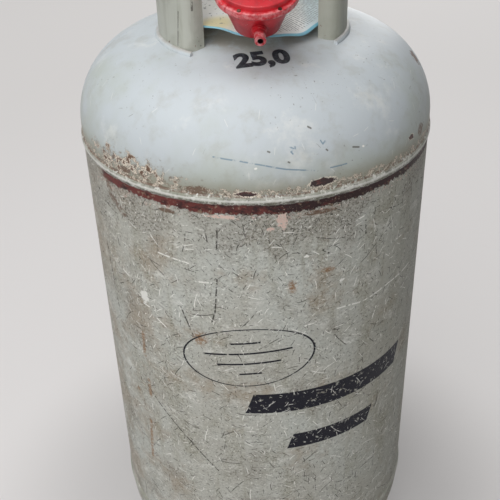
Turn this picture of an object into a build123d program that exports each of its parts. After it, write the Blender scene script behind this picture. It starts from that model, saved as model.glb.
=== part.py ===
from build123d import *
import os
from math import atan2, cos, degrees, radians, sin, sqrt

os.makedirs("parts", exist_ok=True)

# Vessel: three pressings of one sheet thickness
vessel_diameter = 356
wall = 3
straight_flange = 14
knuckle_radius = 78
crown_radius = 600
seam_spacing = 475
floor_clearance = 35

# Welds
root_gap = 3
bead_width = 10
bead_height = 1.6
lip_length = 12
lip_clearance = 0.1
fillet_leg = 3.5
weld_overrun = 10

# Foot ring
foot_diameter = 290
foot_sheet = 3
foot_lip = 18
foot_bend = 7
vent_height = 36
vent_length = 40
vent_width = 16

# Collar: open at the front, its two upright edges bent inwards
collar_diameter = 184
collar_sheet = 3
collar_rise = 151
window_half_angle = 56
window_turn = 6
edge_bend = 13
edge_turn = 88
edge_flat = 6
curl_radius = 6
grip_length = 76
grip_width = 34
grip_drop = 46
grip_setback = 10

# Valve boss and the tapered thread in it
boss_diameter = 60
boss_rise = 18
boss_depth = 10
thread_radius = 13
thread_taper = 0.06
thread_tail = 4

# Printed card on the boss
card_thickness = 0.5
card_room = 2
card_hole = 23
card_droop = 4.5
card_clearance = 1.3

# Valve body
hex_width = 38
hex_height = 14
barrel_radius = 17
outlet_rise = 24.2
outlet_lean = 15.5
outlet_bore = 4
arm_radius = 13
arm_length = 28
outlet_thread_radius = 10.9
outlet_thread_length = 14
inlet_bore = 4
chamber_radius = 8
seat_drop = 3
relief_drop = 5.5

# Rising plug, spindle and gland
pad_thickness = 3
pad_radius = 6
plug_height = 10
plug_lift = 3
spindle_radius = 4.5
pivot_radius = 3.2
pivot_depth = 5
gland_width = 26
gland_height = 11
gland_spigot = 5
seal_section = 1
square_side = 7

# Handwheel
wheel_radius = 30
wheel_lobes = 6
wheel_height = 15
wheel_web = 6
wheel_gap = 4
hub_radius = 9
stud_radius = 3
stud_nut_width = 10
stud_nut_height = 5

# Relief valve at the back
relief_arm_radius = 11
relief_arm_length = 34
relief_seat = 18
relief_bore = 3
relief_chamber = 7.5
relief_travel = 2
poppet_height = 4
relief_wire = 1.2
relief_turns = 5
cap_width = 27
cap_overlap = 7
cap_roof = 4
cap_vent = 3

# Union between the valve and the regulator
union_width = 32
union_reach = 11
union_web = 5.2
stem_head_radius = 9.5
stem_head_thickness = 2.5
stem_radius = 7.5
stem_bore = 3
stem_show = 4
washer_thickness = 2

# Regulator housing
housing_wall = 3
cone_depth = 13.2
cone_tip_radius = 20
cone_top_radius = 31
rim_radius = 36.5
rim_under = 15
housing_flange = 3.5
rim_round = 2.6
cavity_radius = 25
inlet_boss_radius = 12
inlet_boss_reach = 33
stem_root_radius = 7
stem_root_length = 11
outlet_boss_radius = 6.5
outlet_boss_reach = 28.5

# Hose nozzle
nozzle_reach = 42
nozzle_neck = 4.4
nozzle_land_radius = 4.9
nozzle_land_length = 8
nozzle_bore = 2.25
nozzle_collar_radius = 5.8
nozzle_collar_length = 1.6
nozzle_root_radius = 3.6
nozzle_root_length = 5

# Regulator cover
cover_flange = 2.3
cover_radius = 32.5
cover_wall_height = 4.7
cover_sheet = 2.5
tower_radius = 13
tower_bore = 10.1
tower_top = 42
roof_rise = 3
rivet_count = 6
rivet_start = -60
rivet_inset = 2.1
rivet_radius = 1
rivet_head = 1.7
rivet_head_height = 0.9

# Diaphragm and its plate, spring and adjuster
diaphragm_thickness = 1.2
roll_circle = 21
roll_half_width = 3.6
roll_depth = 2.4
plate_radius = 16
plate_thickness = 1.4
plate_travel = 1.5
backing_radius = 11
hanger_radius = 3.2
hanger_tip = 4
spring_radius = 7.5
spring_wire = 1.8
spring_turns = 5
spring_length = 15
adjuster_height = 4
adjuster_slot = 2
adjuster_cap_roof = 3
adjuster_cap_wall = 2
adjuster_cap_skirt = 7

# Lever, seat holder and orifice
lever_pivot_y = 9
lever_pivot_z = -6.5
lever_thickness = 3
lever_limb = 2.4
lever_hub = 3
lever_arm_z = 7
lever_arm_depth = 2.5
lever_arm_tip = -2.5
lever_nose = 1.3
lever_nose_z = 0.5
pin_radius = 1.5
ear_thickness = 3
ear_gap = 6
ear_reach = 4.5
holder_width = 11
holder_low = -3
holder_top = 3.5
holder_back = 4
holder_block = 2.1
seat_pad_radius = 2.6
seat_pad_thickness = 1.4
seat_pad_sunk = 0.8
orifice_radius = 4
orifice_tip = 2
orifice_nose = 2.5
orifice_bore = 1.2

# Clearances
slide_clearance = 0.3
running_fit = 0.05
seat_clearance = 0.2

# Heights and planes worked out from the sizes above
vessel_radius = vessel_diameter / 2
half_gap = root_gap / 2
knuckle_centre = vessel_radius - knuckle_radius
crown_drop = sqrt((crown_radius - knuckle_radius) ** 2 - knuckle_centre**2)
head_rise = straight_flange + crown_radius - crown_drop
lower_seam_z = floor_clearance + head_rise
upper_seam_z = lower_seam_z + seam_spacing
apex_z = upper_seam_z + head_rise
upper_seam = Plane(origin=(0, 0, upper_seam_z), x_dir=(1, 0, 0), z_dir=(0, -1, 0))
lower_seam = Plane(origin=(0, 0, lower_seam_z), x_dir=(1, 0, 0), z_dir=(0, 1, 0))


def keep(piece, name):
    piece.part.label = name
    export_step(piece.part, f"parts/{name}.step")


# Half-plane through a frame's axis: x runs outwards, y runs along the axis
def meridian(frame):
    return Plane(origin=frame.origin, x_dir=frame.x_dir, z_dir=-frame.y_dir)


def axis_of(frame):
    return Axis(frame.origin, frame.z_dir)


# Height of the head's outer surface above its seam
def head_height(radius):
    crown_edge = crown_radius * knuckle_centre / (crown_radius - knuckle_radius)
    if radius <= crown_edge:
        return straight_flange - crown_drop + sqrt(crown_radius**2 - radius**2)
    return straight_flange + sqrt(knuckle_radius**2 - (radius - knuckle_centre) ** 2)


# Half section of a filled head, set in from the outer surface, down to a base height
def head_profile(inset, base):
    knuckle_angle = degrees(atan2(crown_drop, knuckle_centre))
    with BuildSketch() as section:
        with BuildLine():
            crown_middle = (0, straight_flange - crown_drop)
            crown = CenterArc(crown_middle, crown_radius - inset, knuckle_angle, 90 - knuckle_angle)
            knuckle = CenterArc((knuckle_centre, straight_flange), knuckle_radius - inset, 0, knuckle_angle)
            Polyline(crown @ 1, (0, base), (vessel_radius - inset, base), knuckle @ 0)
        make_face()
    return section.sketch


# Pressed head whose edge is stepped in, so that it lies inside the shell's end
def head_shell(seam):
    lip_outer = vessel_radius - wall - lip_clearance
    lip_inner = lip_outer - wall
    wall_middle = vessel_radius - wall / 2
    with BuildPart() as head:
        with BuildSketch(seam):
            add(head_profile(0, half_gap))
            add(head_profile(wall, half_gap), mode=Mode.SUBTRACT)
            Polygon(
                (lip_inner, -lip_length),
                (lip_outer, -lip_length),
                (lip_outer, half_gap),
                (wall_middle, half_gap),
                (wall_middle, half_gap + 2 * wall),
                (lip_inner, half_gap + wall),
            )
        revolve(axis=Axis.Z)
    return head.part


def girth_weld(seam):
    with BuildPart() as weld:
        with BuildSketch(seam):
            with BuildLine():
                ThreePointArc(
                    (vessel_radius, -bead_width / 2),
                    (vessel_radius + bead_height, 0),
                    (vessel_radius, bead_width / 2),
                )
                Polyline(
                    (vessel_radius, bead_width / 2),
                    (vessel_radius, half_gap),
                    (vessel_radius - wall, half_gap),
                    (vessel_radius - wall, -half_gap),
                    (vessel_radius, -half_gap),
                    (vessel_radius, -bead_width / 2),
                )
            make_face()
        revolve(axis=Axis.Z)
    return weld.part


# Round bead in the outer corner between a head and an upright wall that stands on it
def corner_bead(radius):
    corner = (radius, head_height(radius))
    with BuildSketch() as section:
        with Locations(corner):
            Circle(fillet_leg)
            Rectangle(
                2 * fillet_leg, 4 * fillet_leg, align=(Align.MAX, Align.CENTER), mode=Mode.SUBTRACT
            )
        add(head_profile(0, 0), mode=Mode.SUBTRACT)
    return section.sketch


# Hexagon bar with its corners turned off at both ends
def hexagon_bar(base, width, length):
    corner = width / sqrt(3)
    turned = (corner - width / 2) / 2
    face = width / 2 + turned / 4
    with BuildPart() as bar:
        with BuildSketch(base):
            RegularPolygon(width / 2, 6, major_radius=False)
        extrude(amount=length)
        with BuildSketch(meridian(base)):
            Polygon(
                (0, 0),
                (face, 0),
                (corner, turned),
                (corner, length - turned),
                (face, length),
                (0, length),
            )
        revolve(axis=axis_of(base), mode=Mode.INTERSECT)
    return bar.part


# Helical spring between two faces that stand a length apart along a frame's axis
def coil_spring(frame, radius, wire, length, turns):
    height = length - wire
    start = frame.offset(wire / 2)
    with BuildPart() as spring:
        with BuildLine() as path:
            Helix(height / turns, height, radius, center=start.origin, direction=frame.z_dir)
        with BuildSketch(Plane(origin=path.line @ 0, z_dir=path.line % 0)):
            Circle(wire / 2)
        sweep(is_frenet=True)
    return spring.part


# Vessel

with BuildPart() as upper_head:
    add(head_shell(upper_seam))
    with BuildSketch(Plane.XY.offset(upper_seam_z)):
        Circle(boss_diameter / 2)
    extrude(amount=2 * head_rise, mode=Mode.SUBTRACT)
keep(upper_head, "upper_head")

with BuildPart() as lower_head:
    add(head_shell(lower_seam))
keep(lower_head, "lower_head")

with BuildPart() as shell:
    with BuildSketch(Plane.XY.offset(lower_seam_z + half_gap)):
        Circle(vessel_radius)
        Circle(vessel_radius - wall, mode=Mode.SUBTRACT)
    extrude(amount=seam_spacing - root_gap)
keep(shell, "shell")

with BuildPart() as upper_girth_weld:
    add(girth_weld(upper_seam))
keep(upper_girth_weld, "upper_girth_weld")

with BuildPart() as lower_girth_weld:
    add(girth_weld(lower_seam))
keep(lower_girth_weld, "lower_girth_weld")

with BuildPart() as shell_seam_weld:
    with BuildSketch(Plane.XY.offset(lower_seam_z + bead_width / 2)):
        with Locations((0, vessel_radius)):
            Ellipse(bead_width / 2, bead_height)
        Circle(vessel_radius, mode=Mode.SUBTRACT)
    extrude(amount=seam_spacing - bead_width)
keep(shell_seam_weld, "shell_seam_weld")

# Foot ring: sheet with its lower edge turned inwards, trimmed to the lower head

foot_radius = foot_diameter / 2
foot_top = lower_seam_z - head_height(foot_radius)

with BuildPart() as foot_ring:
    with BuildSketch(Plane.XZ):
        with BuildLine():
            Line((foot_radius - foot_lip, foot_sheet / 2), (foot_radius - foot_bend, foot_sheet / 2))
            bend = CenterArc((foot_radius - foot_bend, foot_bend), foot_bend - foot_sheet / 2, -90, 90)
            Line(bend @ 1, (foot_radius - foot_sheet / 2, foot_top))
        trace(line_width=foot_sheet)
    revolve(axis=Axis.Z)
    with BuildSketch(lower_seam):
        add(head_profile(0, 0))
    revolve(axis=Axis.Z, mode=Mode.SUBTRACT)
    for crossing in (Plane.XZ, Plane.YZ):
        with BuildSketch(crossing):
            with Locations((0, vent_height)):
                SlotOverall(vent_length, vent_width)
        extrude(amount=foot_diameter, both=True, mode=Mode.SUBTRACT)
keep(foot_ring, "foot_ring")

with BuildPart() as foot_ring_weld:
    with BuildSketch(lower_seam):
        add(corner_bead(foot_radius))
    revolve(axis=Axis.Z)
keep(foot_ring_weld, "foot_ring_weld")

# Collar: rolled sheet with a curled top edge, turned so that its opening faces the front

collar_radius = collar_diameter / 2
collar_middle = collar_radius - collar_sheet / 2
edge_middle = edge_bend - collar_sheet / 2
curl_middle = curl_radius - collar_sheet / 2
collar_arc = 360 - 2 * window_half_angle
collar_drop = head_rise - head_height(collar_radius) + collar_sheet
turn = radians(window_turn)
collar_frame = Plane(origin=(0, 0, apex_z), x_dir=(cos(turn), sin(turn), 0), z_dir=(0, 0, 1))


# Upright half-plane through the vessel's axis, at an angle to the right of the front
def standing_plane(height, angle):
    way = radians(angle - 90)
    return Plane(
        origin=(0, 0, height),
        x_dir=(cos(way), sin(way), 0),
        z_dir=(sin(way), -cos(way), 0),
    )


wall_plane = standing_plane(apex_z, window_turn + window_half_angle)
weld_plane = standing_plane(upper_seam_z, window_turn + window_half_angle - weld_overrun)


# Plan of one upright edge of the opening, from the round wall to the bent-in lip's end
def window_edge(side):
    start = side * window_half_angle - 90
    reach = collar_middle - edge_middle
    with BuildLine() as edge:
        middle = (reach * cos(radians(start)), reach * sin(radians(start)))
        bend = CenterArc(middle, edge_middle, start, -side * edge_turn)
        Line(bend @ 1, bend @ 1 + edge_flat * (bend % 1))
    return edge.line


window_reach = (window_edge(1).vertices().sort_by_distance((0, 0, 0))[0]).center().length

with BuildPart() as collar:
    with BuildSketch(wall_plane):
        with BuildLine():
            Line((collar_middle, -collar_drop), (collar_middle, collar_rise - curl_radius))
            CenterArc((collar_middle + curl_middle, collar_rise - curl_radius), curl_middle, 180, -270)
        trace(line_width=collar_sheet)
    revolve(axis=Axis.Z, revolution_arc=collar_arc)
    for side in (1, -1):
        with BuildSketch(collar_frame.offset(-collar_drop)):
            trace(window_edge(side), line_width=collar_sheet)
        extrude(amount=collar_drop + collar_rise - 2 * curl_radius)
    with BuildSketch(Plane(origin=collar_frame.origin, x_dir=collar_frame.y_dir, z_dir=collar_frame.x_dir)):
        with Locations((grip_setback, collar_rise - grip_drop)):
            SlotOverall(grip_length, grip_width)
    extrude(amount=collar_diameter, both=True, mode=Mode.SUBTRACT)
    with BuildSketch(upper_seam):
        add(head_profile(0, 0))
    revolve(axis=Axis.Z, mode=Mode.SUBTRACT)
keep(collar, "collar")

with BuildPart() as collar_weld:
    with BuildSketch(weld_plane):
        add(corner_bead(collar_radius))
    revolve(axis=Axis.Z, revolution_arc=collar_arc + 2 * weld_overrun)
keep(collar_weld, "collar_weld")

# Valve boss

boss_radius = boss_diameter / 2
top = Plane(origin=(0, 0, apex_z), x_dir=(1, 0, 0), z_dir=(0, 0, 1))
boss_bore = thread_radius - thread_taper * (boss_rise + boss_depth)

with BuildPart() as valve_boss:
    with BuildSketch(meridian(top)):
        Polygon(
            (boss_bore, -boss_depth),
            (boss_radius, -boss_depth),
            (boss_radius, boss_rise),
            (thread_radius, boss_rise),
        )
    revolve(axis=Axis.Z)
    chamfer(valve_boss.faces().sort_by(Axis.Z)[-1].edges().sort_by(SortBy.RADIUS)[-1], boss_rise / 8)
keep(valve_boss, "valve_boss")

with BuildPart() as valve_boss_weld:
    with BuildSketch(upper_seam):
        add(corner_bead(boss_radius))
    revolve(axis=Axis.Z)
keep(valve_boss_weld, "valve_boss_weld")

# Printed card: flat on the boss, then drooping towards its edge

card_radius = window_reach - card_clearance
card_edge = boss_rise - card_droop

with BuildPart() as info_card:
    with BuildSketch(meridian(top)):
        Polygon(
            (card_hole, boss_rise),
            (boss_radius, boss_rise),
            (card_radius, card_edge),
            (card_radius, card_edge + card_thickness),
            (boss_radius, boss_rise + card_thickness),
            (card_hole, boss_rise + card_thickness),
        )
    revolve(axis=Axis.Z)
keep(info_card, "info_card")

# Valve heights above the head's apex

hex_base = boss_rise + card_room
outlet_z = hex_base + hex_height + outlet_rise
seat_z = outlet_z - outlet_bore - seat_drop
relief_z = seat_z - relief_drop
plug_base = seat_z + seat_clearance + pad_thickness
plug_top = plug_base + plug_height
gland_base = plug_top + plug_lift + slide_clearance
barrel_top = gland_base + gland_spigot
gland_top = barrel_top + gland_height
wheel_base = gland_top + wheel_gap
wheel_seat = wheel_base + wheel_web

lean = radians(outlet_lean)
outlet = Plane(origin=(0, 0, apex_z + outlet_z), x_dir=(1, 0, 0), z_dir=(0, -cos(lean), -sin(lean)))
relief = Plane(origin=(0, 0, apex_z + relief_z), x_dir=(1, 0, 0), z_dir=(0, 1, 0))
outlet_face = arm_length + outlet_thread_length
stem_low = thread_radius - thread_taper * (boss_rise + boss_depth + thread_tail)

with BuildPart() as valve_body:
    with BuildSketch(meridian(top)):
        Polygon(
            (0, -boss_depth - thread_tail),
            (stem_low, -boss_depth - thread_tail),
            (thread_radius, boss_rise),
            (thread_radius, hex_base),
            (barrel_radius, hex_base),
            (barrel_radius, barrel_top),
            (0, barrel_top),
        )
    revolve(axis=Axis.Z)
    add(hexagon_bar(top.offset(hex_base), hex_width, hex_height))
    with BuildSketch(outlet):
        Circle(arm_radius)
    extrude(amount=arm_length)
    with BuildSketch(outlet):
        Circle(outlet_thread_radius)
    extrude(amount=outlet_face)
    with BuildSketch(relief):
        Circle(relief_arm_radius)
    extrude(amount=relief_arm_length)
    with BuildSketch(top.offset(-boss_depth - thread_tail)):
        Circle(inlet_bore)
    extrude(amount=boss_depth + thread_tail + seat_z, mode=Mode.SUBTRACT)
    with BuildSketch(top.offset(seat_z)):
        Circle(chamber_radius)
    extrude(amount=barrel_top - seat_z, mode=Mode.SUBTRACT)
    with BuildSketch(outlet):
        Circle(outlet_bore)
    extrude(amount=outlet_face, mode=Mode.SUBTRACT)
    with BuildSketch(relief):
        Circle(relief_bore)
    extrude(amount=relief_seat, mode=Mode.SUBTRACT)
    with BuildSketch(relief.offset(relief_seat)):
        Circle(relief_chamber)
    extrude(amount=relief_arm_length - relief_seat, mode=Mode.SUBTRACT)
keep(valve_body, "valve_body")

# Gland nut with a groove for its ring seal

groove_middle = barrel_top + gland_height / 2
groove_radius = spindle_radius + running_fit + 2 * seal_section

with BuildPart() as gland_nut:
    add(hexagon_bar(top.offset(barrel_top), gland_width, gland_height))
    with BuildSketch(top.offset(gland_base)):
        Circle(chamber_radius)
    extrude(amount=gland_spigot)
    with BuildSketch(top.offset(gland_base)):
        Circle(spindle_radius + running_fit)
    extrude(amount=gland_top - gland_base, mode=Mode.SUBTRACT)
    with BuildSketch(top.offset(groove_middle - seal_section)):
        Circle(groove_radius)
    extrude(amount=2 * seal_section, mode=Mode.SUBTRACT)
keep(gland_nut, "gland_nut")

with BuildPart() as gland_seal:
    with BuildSketch(meridian(top)):
        with Locations((groove_radius - seal_section, groove_middle)):
            Circle(seal_section)
    revolve(axis=Axis.Z)
keep(gland_seal, "gland_seal")

# Rising plug with its soft pad, turned loose on the spindle's tip

with BuildPart() as valve_plug:
    with BuildSketch(top.offset(plug_base)):
        Circle(chamber_radius - slide_clearance)
    extrude(amount=plug_height)
    with BuildSketch(top.offset(plug_top - pivot_depth)):
        Circle(pivot_radius + running_fit)
    extrude(amount=pivot_depth, mode=Mode.SUBTRACT)
keep(valve_plug, "valve_plug")

with BuildPart() as valve_pad:
    with BuildSketch(top.offset(plug_base - pad_thickness)):
        Circle(pad_radius)
    extrude(amount=pad_thickness)
keep(valve_pad, "valve_pad")

stud_top = wheel_seat + stud_nut_height + stud_radius / 2

with BuildPart() as spindle:
    with BuildSketch(top.offset(plug_top - pivot_depth + seat_clearance)):
        Circle(pivot_radius)
    extrude(amount=pivot_depth)
    with BuildSketch(top.offset(plug_top + seat_clearance)):
        Circle(spindle_radius)
    extrude(amount=wheel_base - plug_top - seat_clearance)
    with BuildSketch(top.offset(wheel_base)):
        Rectangle(square_side, square_side)
    extrude(amount=wheel_web)
    with BuildSketch(top.offset(wheel_seat)):
        Circle(stud_radius)
    extrude(amount=stud_top - wheel_seat)
keep(spindle, "spindle")

# Handwheel: lobed rim round a web and a hub

scallop_radius = wheel_radius / 3
scallop_circle = wheel_radius + scallop_radius * 0.6
rim_inner = scallop_circle - scallop_radius - wheel_web

with BuildPart() as handwheel:
    with BuildSketch(top.offset(wheel_base)):
        Circle(wheel_radius)
        with PolarLocations(scallop_circle, wheel_lobes):
            Circle(scallop_radius, mode=Mode.SUBTRACT)
    extrude(amount=wheel_height)
    fillet(handwheel.edges().filter_by(Axis.Z), scallop_radius / 3)
    fillet(handwheel.faces().filter_by(Axis.Z).edges(), wheel_height / 6)
    with BuildSketch(top.offset(wheel_seat)):
        Circle(rim_inner)
    extrude(amount=wheel_height, mode=Mode.SUBTRACT)
    with BuildSketch(top.offset(wheel_base)):
        Circle(rim_inner)
        Circle(hub_radius, mode=Mode.SUBTRACT)
    extrude(amount=wheel_web / 2, mode=Mode.SUBTRACT)
    with BuildSketch(top.offset(wheel_base)):
        Rectangle(square_side, square_side)
    extrude(amount=wheel_web, mode=Mode.SUBTRACT)
keep(handwheel, "handwheel")

with BuildPart() as wheel_nut:
    add(hexagon_bar(top.offset(wheel_seat), stud_nut_width, stud_nut_height))
    with BuildSketch(top.offset(wheel_seat)):
        Circle(stud_radius)
    extrude(amount=stud_nut_height, mode=Mode.SUBTRACT)
keep(wheel_nut, "wheel_nut")

# Relief valve: poppet on its seat, spring and screwed cap

poppet_seat = relief_seat + seat_clearance
spring_seat = poppet_seat + poppet_height
relief_spring_length = relief_arm_length - spring_seat - seat_clearance
poppet_guide = relief_arm_length - spring_seat - relief_travel - slide_clearance

with BuildPart() as relief_poppet:
    with BuildSketch(meridian(relief.offset(poppet_seat))):
        Polygon(
            (0, 0),
            (relief_chamber - slide_clearance, 0),
            (relief_chamber - slide_clearance, poppet_height),
            (relief_bore, poppet_height),
            (relief_bore, poppet_height + poppet_guide),
            (0, poppet_height + poppet_guide),
        )
    revolve(axis=axis_of(relief))
keep(relief_poppet, "relief_poppet")

with BuildPart() as relief_spring:
    add(
        coil_spring(
            relief.offset(spring_seat),
            (relief_bore + relief_chamber) / 2,
            relief_wire,
            relief_spring_length,
            relief_turns,
        )
    )
keep(relief_spring, "relief_spring")

with BuildPart() as relief_cap:
    add(hexagon_bar(relief.offset(relief_arm_length - cap_overlap), cap_width, cap_overlap + cap_roof))
    with BuildSketch(relief.offset(relief_arm_length - cap_overlap)):
        Circle(relief_arm_radius)
    extrude(amount=cap_overlap, mode=Mode.SUBTRACT)
    with BuildSketch(relief.offset(relief_arm_length)):
        Circle(cap_vent)
    extrude(amount=cap_roof, mode=Mode.SUBTRACT)
keep(relief_cap, "relief_cap")

# Union: soft washer, inlet stem and the nut that draws them to the valve

washer_end = outlet_face + washer_thickness
stem_shoulder = washer_end + stem_head_thickness
nut_base = outlet_face - union_reach
web_base = stem_shoulder + slide_clearance
nut_end = web_base + union_web
regulator_reach = nut_end + stem_show + inlet_boss_reach
stem_end = regulator_reach - inlet_boss_reach + stem_root_length

with BuildPart() as outlet_seal:
    with BuildSketch(outlet.offset(outlet_face)):
        Circle(stem_head_radius)
        Circle(outlet_bore, mode=Mode.SUBTRACT)
    extrude(amount=washer_thickness)
keep(outlet_seal, "outlet_seal")

with BuildPart() as inlet_stem:
    with BuildSketch(meridian(outlet)):
        Polygon(
            (stem_bore, washer_end),
            (stem_head_radius, washer_end),
            (stem_head_radius, stem_shoulder),
            (stem_radius, stem_shoulder),
            (stem_radius, nut_end + stem_show),
            (stem_root_radius, nut_end + stem_show),
            (stem_root_radius, stem_end),
            (stem_bore, stem_end),
        )
    revolve(axis=axis_of(outlet))
keep(inlet_stem, "inlet_stem")

with BuildPart() as union_nut:
    add(hexagon_bar(outlet.offset(nut_base), union_width, nut_end - nut_base))
    with BuildSketch(outlet.offset(nut_base)):
        Circle(outlet_thread_radius + running_fit)
    extrude(amount=web_base - nut_base, mode=Mode.SUBTRACT)
    with BuildSketch(outlet.offset(nut_base)):
        Circle(stem_radius + running_fit)
    extrude(amount=nut_end - nut_base, mode=Mode.SUBTRACT)
keep(union_nut, "union_nut")

# Regulator frame: z along the housing's axis, y back towards the valve

regulator = Plane(
    origin=outlet.offset(regulator_reach).origin,
    x_dir=(1, 0, 0),
    z_dir=(0, -sin(lean), cos(lean)),
)
flow = Plane(origin=regulator.origin, x_dir=(1, 0, 0), z_dir=outlet.z_dir)
side_view = Plane(origin=regulator.origin, x_dir=regulator.y_dir, z_dir=regulator.x_dir)
housing_top = rim_under + housing_flange
rivet_circle = rim_radius - rivet_inset
diaphragm_top = housing_top + diaphragm_thickness
cover_seat = diaphragm_top + cover_flange
cover_top = cover_seat + cover_wall_height
cavity_floor = housing_wall - cone_depth
cone_slope = (cone_top_radius - cone_tip_radius) / (rim_under + cone_depth)
cavity_low = cone_tip_radius + cone_slope * housing_wall - housing_wall
cavity_wide = rim_under - (cone_top_radius - housing_wall - cavity_radius) / cone_slope
lever_ratio = (lever_nose_z - lever_pivot_z) / lever_pivot_y
seat_gap = lever_ratio * plate_travel + seat_clearance
holder_front = lever_pivot_y + lever_nose / 2 + lever_nose + seat_clearance + holder_block
seat_face = holder_front + seat_pad_thickness - seat_pad_sunk
orifice_face = seat_face + seat_gap
ear_top = holder_low - slide_clearance


def rivet_holes(base, radius):
    with BuildSketch(base) as holes:
        with PolarLocations(rivet_circle, rivet_count, start_angle=rivet_start):
            Circle(radius)
    return holes.sketch


with BuildPart() as regulator_housing:
    with BuildSketch(meridian(regulator)):
        Polygon(
            (0, -cone_depth),
            (cone_tip_radius, -cone_depth),
            (cone_top_radius, rim_under),
            (rim_radius, rim_under),
            (rim_radius, housing_top),
            (0, housing_top),
        )
    revolve(axis=axis_of(regulator))
    under_rim = regulator_housing.edges().filter_by(GeomType.CIRCLE).group_by(SortBy.RADIUS)[-1]
    fillet(under_rim.sort_by(axis_of(regulator))[0], rim_round)
    tip_edge = regulator_housing.edges().filter_by(GeomType.CIRCLE).sort_by(axis_of(regulator))[0]
    fillet(tip_edge, rim_round)
    with BuildSketch(flow):
        Circle(inlet_boss_radius)
    extrude(amount=-inlet_boss_reach)
    with BuildSketch(flow):
        Circle(outlet_boss_radius)
    extrude(amount=outlet_boss_reach)
    with BuildSketch(meridian(regulator)):
        Polygon(
            (0, cavity_floor),
            (cavity_low, cavity_floor),
            (cavity_radius, cavity_wide),
            (cavity_radius, housing_top),
            (0, housing_top),
        )
    revolve(axis=axis_of(regulator), mode=Mode.SUBTRACT)
    with BuildSketch(side_view):
        with Locations((lever_pivot_y, cavity_floor)):
            Rectangle(2 * ear_reach, ear_top - cavity_floor, align=(Align.CENTER, Align.MIN))
    extrude(amount=ear_gap / 2 + ear_thickness, both=True)
    with BuildSketch(side_view):
        with Locations((lever_pivot_y, cavity_floor)):
            Rectangle(2 * ear_reach, ear_top - cavity_floor, align=(Align.CENTER, Align.MIN))
    extrude(amount=ear_gap / 2, both=True, mode=Mode.SUBTRACT)
    with BuildSketch(side_view):
        with Locations((lever_pivot_y, lever_pivot_z)):
            Circle(pin_radius)
    extrude(amount=ear_gap / 2 + ear_thickness, both=True, mode=Mode.SUBTRACT)
    with BuildSketch(flow.offset(-inlet_boss_reach)):
        Circle(stem_root_radius)
    extrude(amount=stem_root_length, mode=Mode.SUBTRACT)
    with BuildSketch(flow.offset(-inlet_boss_reach)):
        Circle(orifice_radius)
    extrude(amount=inlet_boss_reach - orifice_face, mode=Mode.SUBTRACT)
    with BuildSketch(flow):
        Circle(nozzle_bore)
    extrude(amount=outlet_boss_reach, mode=Mode.SUBTRACT)
    with BuildSketch(flow.offset(outlet_boss_reach - nozzle_root_length)):
        Circle(nozzle_root_radius)
    extrude(amount=nozzle_root_length, mode=Mode.SUBTRACT)
    extrude(
        rivet_holes(regulator.offset(rim_under), rivet_radius),
        amount=housing_flange,
        mode=Mode.SUBTRACT,
    )
keep(regulator_housing, "regulator_housing")

with BuildPart() as hose_nozzle:
    with BuildSketch(meridian(flow)):
        Polygon(
            (nozzle_bore, outlet_boss_reach - nozzle_root_length),
            (nozzle_root_radius, outlet_boss_reach - nozzle_root_length),
            (nozzle_root_radius, outlet_boss_reach),
            (nozzle_collar_radius, outlet_boss_reach),
            (nozzle_collar_radius, outlet_boss_reach + nozzle_collar_length),
            (nozzle_neck, outlet_boss_reach + nozzle_collar_length),
            (nozzle_neck, nozzle_reach - nozzle_land_length - nozzle_bore),
            (nozzle_land_radius, nozzle_reach - nozzle_land_length),
            (nozzle_land_radius, nozzle_reach),
            (nozzle_bore, nozzle_reach),
        )
    revolve(axis=axis_of(flow))
keep(hose_nozzle, "hose_nozzle")

# Diaphragm with one rolled convolution, clamped in the rim

roll_start = roll_circle - roll_half_width
roll_end = roll_circle + roll_half_width
diaphragm_edge = rim_radius - rim_round / 4

with BuildPart() as diaphragm:
    with BuildSketch(meridian(regulator.offset(housing_top))):
        with BuildLine():
            Polyline(
                (roll_start, 0),
                (hanger_radius, 0),
                (hanger_radius, diaphragm_thickness),
                (roll_start, diaphragm_thickness),
            )
            ThreePointArc(
                (roll_start, diaphragm_thickness),
                (roll_circle, diaphragm_thickness - roll_depth),
                (roll_end, diaphragm_thickness),
            )
            Polyline(
                (roll_end, diaphragm_thickness),
                (diaphragm_edge, diaphragm_thickness),
                (diaphragm_edge, 0),
                (roll_end, 0),
            )
            ThreePointArc((roll_end, 0), (roll_circle, -roll_depth), (roll_start, 0))
        make_face()
    revolve(axis=axis_of(regulator))
    extrude(
        rivet_holes(regulator.offset(housing_top), rivet_radius),
        amount=diaphragm_thickness,
        mode=Mode.SUBTRACT,
    )
keep(diaphragm, "diaphragm")

# Plate on the diaphragm, with the slotted hanger that carries the lever's end

slot_low = lever_arm_z - 2 * slide_clearance
slot_high = lever_arm_z + lever_arm_depth + 2 * slide_clearance

with BuildPart() as diaphragm_plate:
    with BuildSketch(meridian(regulator)):
        Polygon(
            (0, hanger_tip),
            (hanger_radius, hanger_tip),
            (hanger_radius, housing_top - plate_thickness),
            (backing_radius, housing_top - plate_thickness),
            (backing_radius, housing_top),
            (hanger_radius, housing_top),
            (hanger_radius, diaphragm_top),
            (plate_radius, diaphragm_top),
            (plate_radius, diaphragm_top + plate_thickness),
            (0, diaphragm_top + plate_thickness),
        )
    revolve(axis=axis_of(regulator))
    with BuildSketch(side_view):
        with Locations((0, slot_low)):
            Rectangle(4 * hanger_radius, slot_high - slot_low, align=(Align.CENTER, Align.MIN))
    extrude(amount=lever_thickness / 2 + slide_clearance, both=True, mode=Mode.SUBTRACT)
keep(diaphragm_plate, "diaphragm_plate")

with BuildPart() as control_spring:
    add(
        coil_spring(
            regulator.offset(diaphragm_top + plate_thickness + seat_clearance),
            spring_radius,
            spring_wire,
            spring_length,
            spring_turns,
        )
    )
keep(control_spring, "control_spring")

# Cover: flange, low wall, gently rising roof and the spring's tower

fold_radius = diaphragm_edge + lip_clearance
adjuster_base = diaphragm_top + plate_thickness + 2 * seat_clearance + spring_length

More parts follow.
